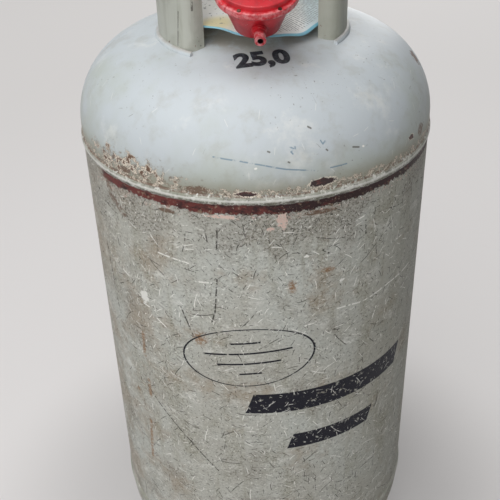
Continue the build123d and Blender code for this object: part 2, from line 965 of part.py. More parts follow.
with BuildPart() as regulator_cover:
    with BuildSketch(meridian(regulator)):
        Polygon(
            (cavity_radius, diaphragm_top),
            (fold_radius, diaphragm_top),
            (fold_radius, housing_top),
            (rim_radius, housing_top),
            (rim_radius, cover_seat),
            (cover_radius, cover_seat),
            (cover_radius, cover_top),
            (tower_radius, cover_top + roof_rise),
            (tower_radius, tower_top),
            (tower_bore, tower_top),
            (tower_bore, cover_top + roof_rise - cover_sheet),
            (cavity_radius, cover_top - cover_sheet),
        )
    revolve(axis=axis_of(regulator))
    rounds = regulator_cover.edges().filter_by(GeomType.CIRCLE)
    fillet(rounds.group_by(SortBy.RADIUS)[-1].sort_by(axis_of(regulator))[-1], cover_flange / 2)
    rounds = regulator_cover.edges().filter_by(GeomType.CIRCLE)
    shoulder = rounds.filter_by(lambda edge: abs(edge.radius - cover_radius) < running_fit)
    fillet(shoulder.sort_by(axis_of(regulator))[-1], cover_flange / 2)
    extrude(
        rivet_holes(regulator.offset(diaphragm_top), rivet_radius),
        amount=cover_flange,
        mode=Mode.SUBTRACT,
    )
keep(regulator_cover, "regulator_cover")

with BuildPart() as rim_rivets:
    extrude(rivet_holes(regulator.offset(rim_under), rivet_radius), amount=cover_seat - rim_under)
    extrude(rivet_holes(regulator.offset(cover_seat), rivet_head), amount=rivet_head_height)
keep(rim_rivets, "rim_rivets")

with BuildPart() as adjuster:
    with BuildSketch(regulator.offset(adjuster_base)):
        Circle(tower_bore)
    extrude(amount=adjuster_height)
    with BuildSketch(regulator.offset(adjuster_base + adjuster_height)):
        Rectangle(2 * tower_bore, adjuster_slot)
    extrude(amount=-adjuster_slot, mode=Mode.SUBTRACT)
keep(adjuster, "adjuster")

with BuildPart() as adjuster_cap:
    with BuildSketch(meridian(regulator.offset(tower_top))):
        Polygon(
            (tower_radius, -adjuster_cap_skirt),
            (tower_radius + adjuster_cap_wall, -adjuster_cap_skirt),
            (tower_radius + adjuster_cap_wall, adjuster_cap_roof),
            (0, adjuster_cap_roof),
            (0, 0),
            (tower_radius, 0),
        )
    revolve(axis=axis_of(regulator))
    fillet(adjuster_cap.edges().sort_by(axis_of(regulator))[-1], adjuster_cap_roof / 2)
keep(adjuster_cap, "adjuster_cap")

# Lever: hub on the pin, upright limb with a nose, and the arm in the hanger's slot

arm_top = lever_arm_z + lever_arm_depth

with BuildPart() as lever:
    with BuildSketch(side_view):
        with Locations((lever_pivot_y, lever_pivot_z)):
            Rectangle(lever_limb, arm_top - lever_pivot_z, align=(Align.CENTER, Align.MIN))
        with Locations((lever_pivot_y + lever_nose / 2, lever_nose_z)):
            Circle(lever_nose)
        with Locations((lever_arm_tip, lever_arm_z)):
            arm_reach = lever_pivot_y + lever_limb / 2 - lever_arm_tip
            Rectangle(arm_reach, lever_arm_depth, align=(Align.MIN, Align.MIN))
    extrude(amount=lever_thickness / 2, both=True)
    with BuildSketch(side_view):
        with Locations((lever_pivot_y, lever_pivot_z)):
            Circle(lever_hub)
    extrude(amount=ear_gap / 2 - slide_clearance, both=True)
    with BuildSketch(side_view):
        with Locations((lever_pivot_y, lever_pivot_z)):
            Circle(pin_radius + running_fit)
    extrude(amount=ear_gap, both=True, mode=Mode.SUBTRACT)
keep(lever, "lever")

with BuildPart() as lever_pin:
    with BuildSketch(side_view):
        with Locations((lever_pivot_y, lever_pivot_z)):
            Circle(pin_radius)
    extrude(amount=ear_gap / 2 + ear_thickness, both=True)
keep(lever_pin, "lever_pin")

# Seat holder: a fork round the lever, with the soft pad let into its front

with BuildPart() as seat_holder:
    with BuildSketch(side_view):
        with Locations((holder_back, holder_low)):
            Rectangle(holder_front - holder_back, holder_top - holder_low, align=(Align.MIN, Align.MIN))
    extrude(amount=holder_width / 2, both=True)
    with BuildSketch(side_view):
        with Locations((holder_back, holder_low)):
            fork = holder_front - holder_block - holder_back
            Rectangle(fork, holder_top - holder_low, align=(Align.MIN, Align.MIN))
    extrude(amount=lever_thickness / 2 + slide_clearance, both=True, mode=Mode.SUBTRACT)
    with BuildSketch(flow.offset(-holder_front)):
        Circle(seat_pad_radius)
    extrude(amount=seat_pad_sunk, mode=Mode.SUBTRACT)
keep(seat_holder, "seat_holder")

with BuildPart() as seat_pad:
    with BuildSketch(flow.offset(-seat_face)):
        Circle(seat_pad_radius)
    extrude(amount=seat_pad_thickness)
keep(seat_pad, "seat_pad")

stem_face = inlet_boss_reach - stem_root_length

with BuildPart() as orifice:
    with BuildSketch(meridian(flow)):
        Polygon(
            (orifice_bore, -stem_face),
            (orifice_radius, -stem_face),
            (orifice_radius, -orifice_face - orifice_nose),
            (orifice_tip, -orifice_face),
            (orifice_bore, -orifice_face),
        )
    revolve(axis=axis_of(flow))
keep(orifice, "orifice")
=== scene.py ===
import math
from functools import partial, reduce
import bmesh
import bpy
from mathutils import Matrix, Vector


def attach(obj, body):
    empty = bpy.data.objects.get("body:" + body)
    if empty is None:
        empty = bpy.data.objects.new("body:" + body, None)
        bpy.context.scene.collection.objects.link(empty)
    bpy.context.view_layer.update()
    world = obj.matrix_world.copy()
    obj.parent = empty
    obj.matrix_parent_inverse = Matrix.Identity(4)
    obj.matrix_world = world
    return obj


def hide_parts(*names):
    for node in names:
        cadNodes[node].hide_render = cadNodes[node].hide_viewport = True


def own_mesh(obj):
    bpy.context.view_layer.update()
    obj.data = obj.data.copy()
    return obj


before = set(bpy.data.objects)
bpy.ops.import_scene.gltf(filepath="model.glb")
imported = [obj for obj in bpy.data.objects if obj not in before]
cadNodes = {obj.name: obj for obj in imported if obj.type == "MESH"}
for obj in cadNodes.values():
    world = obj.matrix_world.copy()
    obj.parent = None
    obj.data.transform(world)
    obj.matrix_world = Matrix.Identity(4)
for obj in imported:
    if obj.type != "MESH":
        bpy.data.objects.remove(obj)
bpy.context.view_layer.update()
print("frame loaded:", len(cadNodes), "CAD nodes")

# the vessel's own measures (m), as the solids have them
vessel = {"radius": 0.178, "seam": 0.611668, "apex": 0.713336, "crown": 0.6}


# sRGB levels as the linear colour that shaders take
def paintColour(red, green, blue):
    def linear(level):
        level /= 255
        return level / 12.92 if level <= 0.04045 else ((level + 0.055) / 1.055) ** 2.4

    return (linear(red), linear(green), linear(blue), 1.0)


def paintColours(levels):
    return {name: paintColour(*level) for name, level in levels.items()}


# shape of the marks that a skin draws: a core is the share of a half width that is solid
drawn = {
    "noiseMiddle": 0.5,
    "seedStep": (7.3, 3.1),
    "scratchCore": 0.35, "scratchEnds": 0.6,
    "strokeCore": 0.4, "blotRagged": 3.0,
}


# one material while its nodes are being wired
class Skin:
    def __init__(self, name, marks, tones, metallic=0.0):
        self.marks, self.tones, self.base = marks, tones, None
        self.material = bpy.data.materials.new(name)
        self.material.use_nodes = True
        self.tree = self.material.node_tree
        self.shader = self.tree.nodes["Principled BSDF"]
        self.shader.inputs["Roughness"].default_value = marks["roughness"]
        self.shader.inputs["Metallic"].default_value = metallic
        self.place = self.node("TexCoord").outputs["Object"]

    def node(self, kind):
        return self.tree.nodes.new("ShaderNode" + kind)

    def feed(self, socket, value):
        if isinstance(value, bpy.types.NodeSocket):
            self.tree.links.new(value, socket)
        elif value is not None:
            socket.default_value = value

    def calc(self, operation, a, b=None, c=None):
        node = self.node("Math")
        node.operation = operation
        for socket, value in zip(node.inputs, (a, b, c)):
            self.feed(socket, value)
        return node.outputs[0]

    def vec(self, operation, a, b=None):
        node = self.node("VectorMath")
        node.operation = operation
        self.feed(node.inputs[0], a)
        self.feed(node.inputs["Scale" if operation == "SCALE" else 1], b)
        return node.outputs["Value" if operation in ("LENGTH", "DOT_PRODUCT") else "Vector"]

    def size(self, value):
        return self.calc("ABSOLUTE", value)

    def minus(self, value, less):
        return self.calc("SUBTRACT", value, less)

    def dot(self, a, b):
        return self.vec("DOT_PRODUCT", a, b)

    def split(self, vector):
        node = self.node("SeparateXYZ")
        self.feed(node.inputs[0], vector)
        return node.outputs[:]

    def join(self, x, y):
        node = self.node("CombineXYZ")
        self.feed(node.inputs[0], x)
        self.feed(node.inputs[1], y)
        return node.outputs[0]

    # 0 below low and 1 above high, or the other way round where low is the larger
    def remap(self, value, low, high):
        node = self.node("MapRange")
        node.interpolation_type = "SMOOTHSTEP"
        self.feed(node.inputs["Value"], value)
        self.feed(node.inputs["From Min"], low)
        self.feed(node.inputs["From Max"], high)
        return node.outputs["Result"]

    # a mask past one of the edges that the marks name, and one between a rise and a fall
    def edge(self, value, key):
        return self.remap(value, *self.marks["edge"][key])

    def span(self, value, key):
        rise, fall = self.marks["span"][key]
        return self.both(self.remap(value, *rise), self.remap(value, *fall))

    def mix(self, factor, a, b):
        node = self.node("Mix")
        node.data_type = "RGBA"
        self.feed(node.inputs["Factor"], factor)
        self.feed(node.inputs[6], a)
        self.feed(node.inputs[7], b)
        return node.outputs[2]

    def grain(self, place, key):
        node = self.node("TexNoise")
        self.feed(node.inputs["Vector"], place)
        for name, value in zip(("Scale", "Detail", "Roughness"), self.marks["grain"][key]):
            node.inputs[name].default_value = value
        return node.outputs["Fac"]

    def spots(self, place, key):
        return self.edge(self.grain(place, key), key)

    def both(self, *masks):
        return reduce(partial(self.calc, "MULTIPLY"), masks)

    def either(self, *masks):
        return reduce(partial(self.calc, "MAXIMUM"), masks)

    def without(self, mask, cut):
        return self.both(mask, self.minus(1.0, cut))

    # a value plus a share of another, which may be one of the shifts that the marks name
    def plus(self, value, extra, share):
        if isinstance(share, str):
            share = self.marks["shift"][share]
        return self.calc("MULTIPLY_ADD", extra, share, value)

    # a value that a noise shifts to and fro
    def wobble(self, value, noise, reach):
        return self.plus(value, self.minus(noise, drawn["noiseMiddle"]), reach)

    def cover(self, mask, key):
        return self.both(mask, self.marks["cover"][key])

    # the first coat, of two tones, and one more of paint or dirt
    def start(self, mask, tone, other):
        self.base = self.mix(mask, self.tones[tone], self.tones[other])

    def coat(self, mask, tone, key=None):
        self.base = self.mix(self.cover(mask, key) if key else mask, self.base, self.tones[tone])

    def flecks(self, place, key, tone):
        self.coat(self.spots(place, key), tone, key)

    # the vessel's side unrolled: metres round from the front, and metres above the upper seam
    def unroll(self):
        x, y, z = self.split(self.place)
        arc = self.both(self.calc("ARCTAN2", x, self.both(y, -1.0)), vessel["radius"])
        rise = self.minus(z, vessel["seam"])
        return arc, rise, self.join(arc, rise)

    # short, slightly bowed scratches, one to a cell, each lying its own way
    def scratches(self, flat, cells, length, width, share, seed):
        shift = [seed * step for step in drawn["seedStep"]] + [0.0]
        place = self.vec("ADD", self.vec("MULTIPLY", flat, (cells, cells, 0.0)), shift)
        node = self.node("TexVoronoi")
        node.voronoi_dimensions = "2D"
        node.inputs["Scale"].default_value = 1.0
        self.feed(node.inputs["Vector"], place)
        dx, dy = self.split(self.vec("SUBTRACT", place, node.outputs["Position"]))[:2]
        colour = self.node("SeparateColor")
        self.feed(colour.inputs[0], node.outputs["Color"])
        way, chance, bow = colour.outputs[:]
        way = self.both(way, math.tau)
        cosine, sine = self.calc("COSINE", way), self.calc("SINE", way)
        along = self.calc("ADD", self.both(dx, cosine), self.both(dy, sine))
        across = self.minus(self.both(dy, cosine), self.both(dx, sine))
        off = self.size(self.wobble(across, bow, self.both(along, along)))
        line = self.remap(off, width, width * drawn["scratchCore"])
        ends = self.remap(self.size(along), length, length * drawn["scratchEnds"])
        return self.both(line, ends, self.calc("LESS_THAN", chance, share))

    # one drawn line between two places on the unrolled side
    def stroke(self, flat, start, end, width):
        step = (end[0] - start[0], end[1] - start[1], 0.0)
        away = self.vec("SUBTRACT", flat, (*start, 0.0))
        share = self.calc("DIVIDE", self.dot(away, step), step[0] ** 2 + step[1] ** 2)
        share = self.calc("MINIMUM", self.calc("MAXIMUM", share, 0.0), 1.0)
        gap = self.vec("LENGTH", self.vec("SUBTRACT", away, self.vec("SCALE", step, share)))
        return self.remap(gap, width, width * drawn["strokeCore"])

    # several drawn lines, each a row of places
    def strokes(self, flat, rows, width):
        parts = []
        for row in rows:
            parts += [self.stroke(flat, start, end, width) for start, end in zip(row, row[1:])]
        return self.either(*parts)

    # distance from the middle of an oval: 1 at its edge
    def spread(self, flat, middle, width, height):
        away = self.vec("SUBTRACT", flat, (*middle, 0.0))
        return self.vec("LENGTH", self.vec("MULTIPLY", away, (1.0 / width, 1.0 / height, 0.0)))

    # the same where the edge is ragged
    def blot(self, flat, middle, width, height, ragged):
        return self.wobble(self.spread(flat, middle, width, height), ragged, drawn["blotRagged"])

    def bump(self, height):
        node = self.node("Bump")
        node.inputs["Distance"].default_value, node.inputs["Strength"].default_value = self.marks["bump"]
        self.feed(node.inputs["Height"], height)
        self.feed(self.shader.inputs["Normal"], node.outputs[0])

    def done(self):
        self.feed(self.shader.inputs["Base Color"], self.base)
        return self.material


greys = paintColours({
    "dome": (199, 206, 210), "domeShade": (189, 196, 191), "side": (191, 190, 181),
    "sideClean": (199, 201, 194), "olive": (154, 150, 131), "tan": (162, 145, 124),
    "grime": (82, 77, 67), "collar": (186, 188, 178), "collarDirtAndShade": (150, 151, 137),
    "dark": (50, 45, 40), "pale": (243, 242, 236), "cream": (238, 227, 211), "pink": (224, 198, 186),
    "brown": (106, 80, 63), "drab": (158, 153, 143), "maroon": (108, 56, 52), "rust": (48, 32, 32),
    "orange": (146, 108, 72), "pen": (98, 130, 152), "navy": (16, 16, 28),
})

# in every finish, a grain is a noise's scale, detail and roughness
# an edge is where a mask begins and where it is full, and a span is one edge up and one down
# a shift is how far one value moves another, and a cover is how strongly a coat shows
# places are metres round from the front and metres above the upper seam, and sizes are in metres

# wear along the upper seam, with painted shade in the crease above the ridge and a painted highlight on its
# crest
seamMarks = {
    "darkBlots": (
        ((0.049, 0.012), 0.011, 0.0038), ((-0.018, 0.0072), 0.009, 0.0022), ((0.16, 0.021), 0.004, 0.003),
    ),
    "brownBlots": (
        ((-0.062, 0.0085), 0.011, 0.0042), ((0.048, -0.0175), 0.016, 0.0024),
        ((0.182, 0.02), 0.007, 0.006), ((-0.094, -0.0185), 0.008, 0.0024),
        ((-0.139, 0.0105), 0.007, 0.003),
    ),
    "chippedLeft": ((-0.136, 0.016), 0.06, 0.013),
    "drip": (((-0.173, -0.012), (-0.168, -0.028), (-0.15, -0.04)),),
    "dripWidth": 0.006, "rustStretch": (1, 2, 1), "jagShare": 0.5, "chipDepth": 0.6,
    "grain": {
        "ragged": (70, 5, 0.65), "fine": (190, 4, 0.7), "grit": (380, 3, 0.65),
        "jag": (520, 4, 0.8), "gaps": (11, 3, 0.6), "depth": (60, 5, 0.75),
        "speck": (125, 5, 0.74), "patchy": (24, 3, 0.6),
    },
    "shift": {
        "ragged": 0.009, "fine": 0.006, "sag": 0.002, "jag": 0.01, "bandEnd": 0.12, "darker": 0.2,
        "crest": 0.0025, "chips": 0.16,
    },
    "edge": {
        "bandFoot": (-0.0122, -0.0111), "bandTop": (-0.0034, -0.0041), "bandStart": (-0.186, -0.176),
        "bandEnd": (0.344, 0.34), "gaps": (0.28, 0.34), "darker": (-0.1, 0.09), "depth": (0.46, 0.66),
        "tanFlecks": (0.57, 0.64), "pinkFlecks": (0.68, 0.72), "creaseLeft": (-0.08, -0.16),
        "crease": (0.44, 0.54), "rubbed": (0.47, 0.4), "soiled": (0.54, 0.62),
        "soiledGrit": (0.6, 0.64), "groove": (0.46, 0.52), "cluster": (1.25, 0.5),
        "aboveRidge": (0.0032, 0.0042), "halo": (0.57, 0.64), "chip": (0.635, 0.65),
        "core": (0.7, 0.715), "dirt": (0.57, 0.61), "soot": (0.66, 0.69), "flake": (0.54, 0.57),
        "patchy": (0.42, 0.5), "underGrit": (0.62, 0.66), "blotRim": (1.45, 1.25),
        "rimGrit": (0.46, 0.52), "blot": (1.1, 0.95), "stain": (1.15, 0.85), "stainGrit": (0.36, 0.46),
        "drip": (0.42, 0.54),
    },
    "span": {
        "sag": ((-0.16, -0.05), (0.11, 0.01)), "grime": ((0.0042, 0.0062), (0.026, 0.008)),
        "crease": ((0.003, 0.0042), (0.0072, 0.0054)), "ridge": ((-0.0044, -0.0034), (0.0052, 0.0042)),
        "crest": ((-0.001, -0.0002), (0.002, 0.001)),
        "groove": ((-0.0034, -0.0027), (-0.0012, -0.002)), "row": ((0.0042, 0.0057), (0.014, 0.01)),
        "line": ((0.612, 0.626), (0.65, 0.636)), "under": ((-0.022, -0.015), (-0.0106, -0.0126)),
    },
    "cover": {
        "tanFlecks": 0.55, "grime": 0.75, "crease": 0.85, "rubbed": 0.6, "soiled": 0.65, "crest": 0.6,
        "groove": 0.8, "row": 0.75, "halo": 0.8, "chip": 1, "line": 0.85, "core": 1, "dirt": 0.85,
        "soot": 1, "stain": 0.85, "drip": 0.7,
    },
}


# rust band, chips and grime that gather at the upper seam, with painted shade in the crease above the ridge
# and a painted highlight on its crest, on head, bead and shell alike
def seamWear(skin, arc, rise, flat):
    own, skin.marks = skin.marks, seamMarks
    edge, both, coat, spots = skin.edge, skin.both, skin.coat, skin.spots
    ragged, fine, grit = [skin.grain(flat, key) for key in ("ragged", "fine", "grit")]
    jag = both(skin.calc("ADD", fine, skin.grain(flat, "jag")), seamMarks["jagShare"])
    level = skin.wobble(skin.wobble(rise, ragged, "ragged"), fine, "fine")
    # rust showing under the ridge: maroon to the left and nearly black to the right
    # it hangs lowest left of the middle
    lower = skin.wobble(skin.plus(level, skin.span(arc, "sag"), "sag"), jag, "jag")
    reach = skin.wobble(arc, ragged, "bandEnd")
    bare = both(edge(lower, "bandFoot"), edge(level, "bandTop"), spots(flat, "gaps"))
    bare = both(bare, edge(arc, "bandStart"), edge(reach, "bandEnd"))
    depth = skin.grain(skin.vec("MULTIPLY", flat, seamMarks["rustStretch"]), "depth")
    depth = skin.plus(depth, edge(arc, "darker"), "darker")
    rust = skin.mix(edge(depth, "depth"), greys["maroon"], greys["rust"])
    rust = skin.mix(skin.cover(edge(fine, "tanFlecks"), "tanFlecks"), rust, greys["tan"])
    rust = skin.mix(edge(grit, "pinkFlecks"), rust, greys["pink"])
    # olive grime above the ridge, and a dark line along its upper edge: dirt and painted shade in the crease
    coat(skin.span(level, "grime"), "olive", "grime")
    creaseShadeAndDirt = skin.calc("ADD", jag, edge(arc, "creaseLeft"))
    coat(both(skin.span(rise, "crease"), edge(creaseShadeAndDirt, "crease")), "brown", "crease")
    onRidge = skin.span(level, "ridge")
    coat(both(onRidge, edge(fine, "rubbed")), "pale", "rubbed")
    soiled = skin.either(edge(ragged, "soiled"), edge(grit, "soiledGrit"))
    coat(both(onRidge, soiled), "grime", "soiled")
    # the ridge's crest is pale: rubbed wear and a painted highlight along it, with a dark line in the groove
    # under it
    crestLevel = skin.wobble(rise, fine, "crest")
    coat(skin.span(crestLevel, "crest"), "pale", "crest")
    coat(both(skin.span(crestLevel, "groove"), edge(jag, "groove")), "grime", "groove")
    # paint flaked off in a cluster at the left and along a thin row above the ridge
    cluster = edge(skin.blot(flat, *seamMarks["chippedLeft"], ragged), "cluster")
    zone = skin.either(cluster, skin.cover(skin.span(level, "row"), "row"))
    raised = skin.plus(skin.grain(flat, "speck"), zone, "chips")
    flaking = both(zone, edge(rise, "aboveRidge"))
    chip = edge(raised, "chip")
    flakes = (
        ("halo", edge(raised, "halo"), "tan"),
        ("chip", chip, "cream"),
        ("line", skin.span(raised, "line"), "dark"),
        ("core", edge(raised, "core"), "brown"),
        ("dirt", edge(fine, "dirt"), "brown"),
        ("soot", edge(grit, "soot"), "dark"),
    )
    for key, mask, tone in flakes:
        coat(both(mask, flaking), tone, key)
    # pinkish flakes and dark specks under the band
    under = skin.span(level, "under")
    coat(both(under, edge(jag, "flake"), spots(flat, "patchy")), "pink")
    coat(both(under, edge(grit, "underGrit")), "rust")
    for place in seamMarks["darkBlots"]:
        spread = skin.blot(flat, *place, jag)
        coat(both(edge(spread, "blotRim"), edge(grit, "rimGrit")), "cream")
        bare = skin.either(bare, edge(spread, "blot"))
    skin.base = skin.mix(bare, skin.base, rust)
    for place in seamMarks["brownBlots"]:
        spread = skin.blot(flat, *place, jag)
        coat(both(edge(spread, "stain"), edge(grit, "stainGrit")), "brown", "stain")
    drip = skin.strokes(flat, seamMarks["drip"], seamMarks["dripWidth"])
    coat(both(drip, edge(fine, "drip")), "brown", "drip")
    skin.marks = own
    return skin.either(bare, both(chip, flaking, seamMarks["chipDepth"]))


# pen line and squiggles drawn round the head, and a few dark nicks
headMarks = {
    "roughness": 0.5,
    "penRows": (
        ((-0.0468, 0.0401), (-0.0229, 0.0374), (-0.0031, 0.0337), (0.0167, 0.0289)),
        ((0.0167, 0.0289), (0.0289, 0.027), (0.042, 0.0246)), ((0.0571, 0.0243), (0.0731, 0.0245)),
        ((0.0215, 0.0468), (0.0249, 0.0449), (0.022, 0.0429), (0.0236, 0.0411)),
        ((0.026, 0.0464), (0.0266, 0.044)),
        ((0.0502, 0.0484), (0.052, 0.0454), (0.0544, 0.0474), (0.0568, 0.0446)),
    ),
    "penWidth": 0.0009,
    "nicks": (
        ((0.0405, 0.0598), (0.0432, 0.0584)), ((0.0545, 0.0406), (0.0556, 0.0396)),
        ((0.019, 0.0349), (0.0202, 0.0343)), ((0.0015, 0.0446), (0.0032, 0.044)),
        ((0.081, 0.0373), (0.0873, 0.0358)),
    ),
    "nickWidth": 0.001,
    "paleDots": (((0.0917, 0.0355), (0.0925, 0.0352)), ((-0.01, 0.031), (-0.009, 0.0312))),
    "paleDotWidth": 0.0012,
    "rimRust": ((0.256, 0.064), 0.01, 0.006),
    # cells to the metre, length and width in cells, share of the cells, seed
    "thin": (42, 0.16, 0.02, 0.35, 3),
    "scuff": (60, 0.2, 0.018, 0.3, 5),
    "grain": {
        "cloud": (9, 4, 0.6), "dust": (38, 5, 0.65), "bloom": (21, 5, 0.7),
        "dots": (330, 2, 0.5), "where": (14, 3, 0.6), "ragged": (190, 4, 0.7),
        "broken": (150, 3, 0.6), "height": (60, 4, 0.6),
    },
    "shift": {"shade": 0.14, "dust": 0.3},
    "edge": {
        "nearSeam": (0.06, 0.01), "shade": (0.5, 0.74), "dust": (0.5, 0.72),
        "shadeAndDirtUnderCard": (0.0958, 0.0988), "shadeAndDirtUnderCardDust": (0.34, 0.52), "bloom": (0.56, 0.74),
        "dots": (0.69, 0.72), "dotsWhere": (0.46, 0.64), "low": (0.082, 0.07),
        "scuffWhere": (0.44, 0.6), "rimRust": (1.15, 0.85), "broken": (0.38, 0.5),
    },
    "cover": {
        "dust": 0.26, "shadeAndDirtUnderCard": 0.55, "bloom": 0.35, "dots": 0.55, "thin": 0.4, "scuff": 0.7,
        "nicks": 0.8, "rimRust": 0.9, "pen": 0.75, "height": 0.35,
    },
    "bump": (0.0005, 0.6),
}


# grey enamel of the head
def headPaint():
    skin = Skin("headPaint", headMarks, greys)
    edge, both, coat, spots = skin.edge, skin.both, skin.coat, skin.spots
    arc, rise, flat = skin.unroll()
    near = edge(rise, "nearSeam")
    shade = skin.plus(skin.grain(skin.place, "cloud"), near, "shade")
    skin.start(edge(shade, "shade"), "dome", "domeShade")
    dust = skin.grain(skin.place, "dust")
    coat(skin.plus(edge(dust, "dust"), near, "dust"), "olive", "dust")
    # tan dirt and painted shade under the card, round the boss
    coat(both(edge(rise, "shadeAndDirtUnderCard"), edge(dust, "shadeAndDirtUnderCardDust")), "tan", "shadeAndDirtUnderCard")
    skin.flecks(skin.place, "bloom", "pale")
    where = skin.grain(skin.place, "where")
    coat(both(spots(skin.place, "dots"), edge(where, "dotsWhere")), "grime", "dots")
    # the unrolled side draws out near the crown, so scratches stay below it
    low = edge(rise, "low")
    coat(both(skin.scratches(flat, *headMarks["thin"]), low), "pale", "thin")
    scuff = both(skin.scratches(flat, *headMarks["scuff"]), low, edge(where, "scuffWhere"))
    nicks = skin.strokes(flat, headMarks["nicks"], headMarks["nickWidth"])
    coat(skin.either(skin.cover(scuff, "scuff"), nicks), "grime", "nicks")
    coat(skin.strokes(flat, headMarks["paleDots"], headMarks["paleDotWidth"]), "pale")
    spot = skin.blot(flat, *headMarks["rimRust"], skin.grain(flat, "ragged"))
    coat(edge(spot, "rimRust"), "brown", "rimRust")
    pen = skin.strokes(flat, headMarks["penRows"], headMarks["penWidth"])
    coat(both(pen, spots(flat, "broken")), "pen", "pen")
    worn = seamWear(skin, arc, rise, flat)
    fine = skin.cover(skin.grain(skin.place, "height"), "height")
    skin.bump(skin.minus(fine, worn))
    return skin.done()


# scratches and stains on the shell
sideMarks = {
    "roughness": 0.55, "shine": 0.25, "softest": 0.2, "pitsLeast": 0.5,
    "palest": (
        ((-0.1082, -0.0682), (-0.0748, -0.0715)), ((-0.0696, -0.0909), (-0.0546, -0.0899)),
        ((-0.1358, -0.1393), (-0.1262, -0.1412)), ((-0.1642, -0.1111), (-0.1538, -0.1157)),
        ((-0.1194, -0.1508), (-0.1086, -0.1578)),
        ((0.0657, -0.1316), (0.0817, -0.1326), (0.0992, -0.1352), (0.1359, -0.1313), (0.1825, -0.1323)),
        ((0.1184, -0.1508), (0.1135, -0.1635)), ((0.0344, -0.1435), (0.0456, -0.1413)),
        ((0.1428, -0.0832), (0.1542, -0.0833)), ((0.0865, -0.037), (0.0945, -0.0355)),
    ),
    "paleWidth": 0.0012,
    "darkest": (
        ((-0.0457, -0.0294), (-0.0472, -0.0499)),
        ((-0.0485, -0.0845), (-0.0525, -0.1237), (-0.0562, -0.1364)),
        ((-0.0881, -0.1258), (-0.0774, -0.1574)), ((-0.1952, -0.0922), (-0.1861, -0.1761)),
        ((-0.1462, -0.2558), (-0.0923, -0.3089), (-0.06, -0.345)), ((0.0973, -0.0408), (0.0982, -0.0554)),
        ((0.1287, -0.0604), (0.136, -0.0548)), ((0.0513, -0.0591), (0.0574, -0.064)),
    ),
    "darkWidth": 0.0011,
    "paleBlots": (
        ((-0.1335, -0.129), 0.005, 0.008), ((0.073, -0.0989), 0.003, 0.0016),
        ((0.0352, -0.0626), 0.0024, 0.0016),
    ),
    "pinkBlots": (
        ((0.0128, -0.02), 0.0042, 0.01), ((0.0018, -0.0293), 0.0042, 0.0016),
        ((-0.04, -0.0165), 0.012, 0.0018),
    ),
    "runs": (
        ((-0.1435, -0.1819), (-0.1448, -0.2124)), ((-0.1433, -0.2467), (-0.1431, -0.2685)),
        ((-0.149, -0.3102), (-0.1541, -0.3701)),
    ),
    "runWidth": 0.0032,
    "orangeBlots": (
        ((0.022, -0.0945), 0.005, 0.0085), ((0.0575, -0.0826), 0.009, 0.0035),
        ((-0.07, -0.16), 0.009, 0.01), ((-0.1654, -0.2727), 0.003, 0.004),
    ),
    # cells to the metre, length and width in cells, share of the cells, seed
    "darkScratches": (
        (24, 0.36, 0.014, 0.45, 2), (52, 0.34, 0.027, 0.42, 3), (88, 0.4, 0.046, 0.7, 4),
        (150, 0.3, 0.06, 0.4, 9),
    ),
    "paleScratches": (
        (22, 0.28, 0.013, 0.45, 6), (48, 0.3, 0.027, 0.42, 7), (80, 0.38, 0.046, 0.7, 8),
        (140, 0.28, 0.055, 0.35, 5),
    ),
    "stretch": {"smear": (1, 0.4, 1), "streaky": (1, 0.1, 1), "bloom": (0.5, 1, 1)},
    "apart": {"tan": (3, 1, 0), "bright": (5, 2, 0)},
    "grain": {
        "cloud": (7, 4, 0.6), "smear": (26, 5, 0.68), "tan": (15, 5, 0.68),
        "streaky": (85, 4, 0.6), "bloom": (60, 5, 0.72), "patches": (17, 4, 0.6),
        "gritty": (400, 4, 0.72), "wander": (80, 5, 0.75), "hair": (130, 3, 0.6),
        "crumbs": (240, 4, 0.8), "broken": (210, 3, 0.6), "cluster": (11, 4, 0.65),
        "darkGaps": (120, 3, 0.6), "pits": (330, 2, 0.5), "bright": (10, 4, 0.65),
        "paleDots": (300, 2, 0.5), "paleGaps": (90, 3, 0.6), "fine": (190, 4, 0.7),
        "wornOff": (150, 5, 0.7),
    },
    "shift": {"left": 0.1, "nearSeam": 0.19, "soft": 0.26},
    "edge": {
        "cloud": (0.38, 0.62), "smear": (0.47, 0.7), "tan": (0.53, 0.7), "streaky": (0.52, 0.74),
        "bloom": (0.53, 0.7), "nearSeam": (-0.09, -0.018), "smooth": (0.03, 0.16),
        "dense": (0.51, 0.7), "soft": (0.36, 0.6), "paleGrain": (0.43, 0.37),
        "thread": (0.014, 0.006), "hair": (0.5, 0.56), "soil": (0.54, 0.6), "crumbs": (0.62, 0.66),
        "crumbSmear": (0.42, 0.56), "broken": (0.4, 0.5), "cluster": (0.44, 0.58),
        "darkGaps": (0.38, 0.5), "pits": (0.67, 0.69), "bright": (0.44, 0.58),
        "paleDots": (0.7, 0.72), "paleGaps": (0.4, 0.52), "paleBlot": (1.1, 0.9),
        "orangeBlot": (1.3, 0.4), "stainGrit": (0.34, 0.52), "stainFine": (0.38, 0.52),
        "pinkBlot": (1.15, 0.95), "pinkGrit": (0.4, 0.46), "wornOff": (0.57, 0.65),
    },
    "span": {"left": ((-0.42, -0.26), (-0.02, -0.19)), "right": ((0.05, 0.17), (0.42, 0.26))},
    "cover": {
        "smear": 0.55, "tan": 0.6, "right": 0.35, "streaky": 0.4, "bloom": 0.5, "dense": 0.6,
        "smooth": 0.14, "densePale": 0.45, "denseSoil": 0.75, "crumbs": 0.9, "dark": 0.9, "pale": 0.95,
        "runs": 0.9, "stain": 0.9, "wornOff": 0.85, "height": 0.4,
    },
    "bump": (0.0003, 0.6),
}


# scratches of four sizes, the third of them only in clusters
def scratched(skin, flat, layers, clusters):
    masks = [skin.scratches(flat, *layer) for layer in layers]
    masks[2] = skin.both(masks[2], clusters)
    return skin.either(*masks)


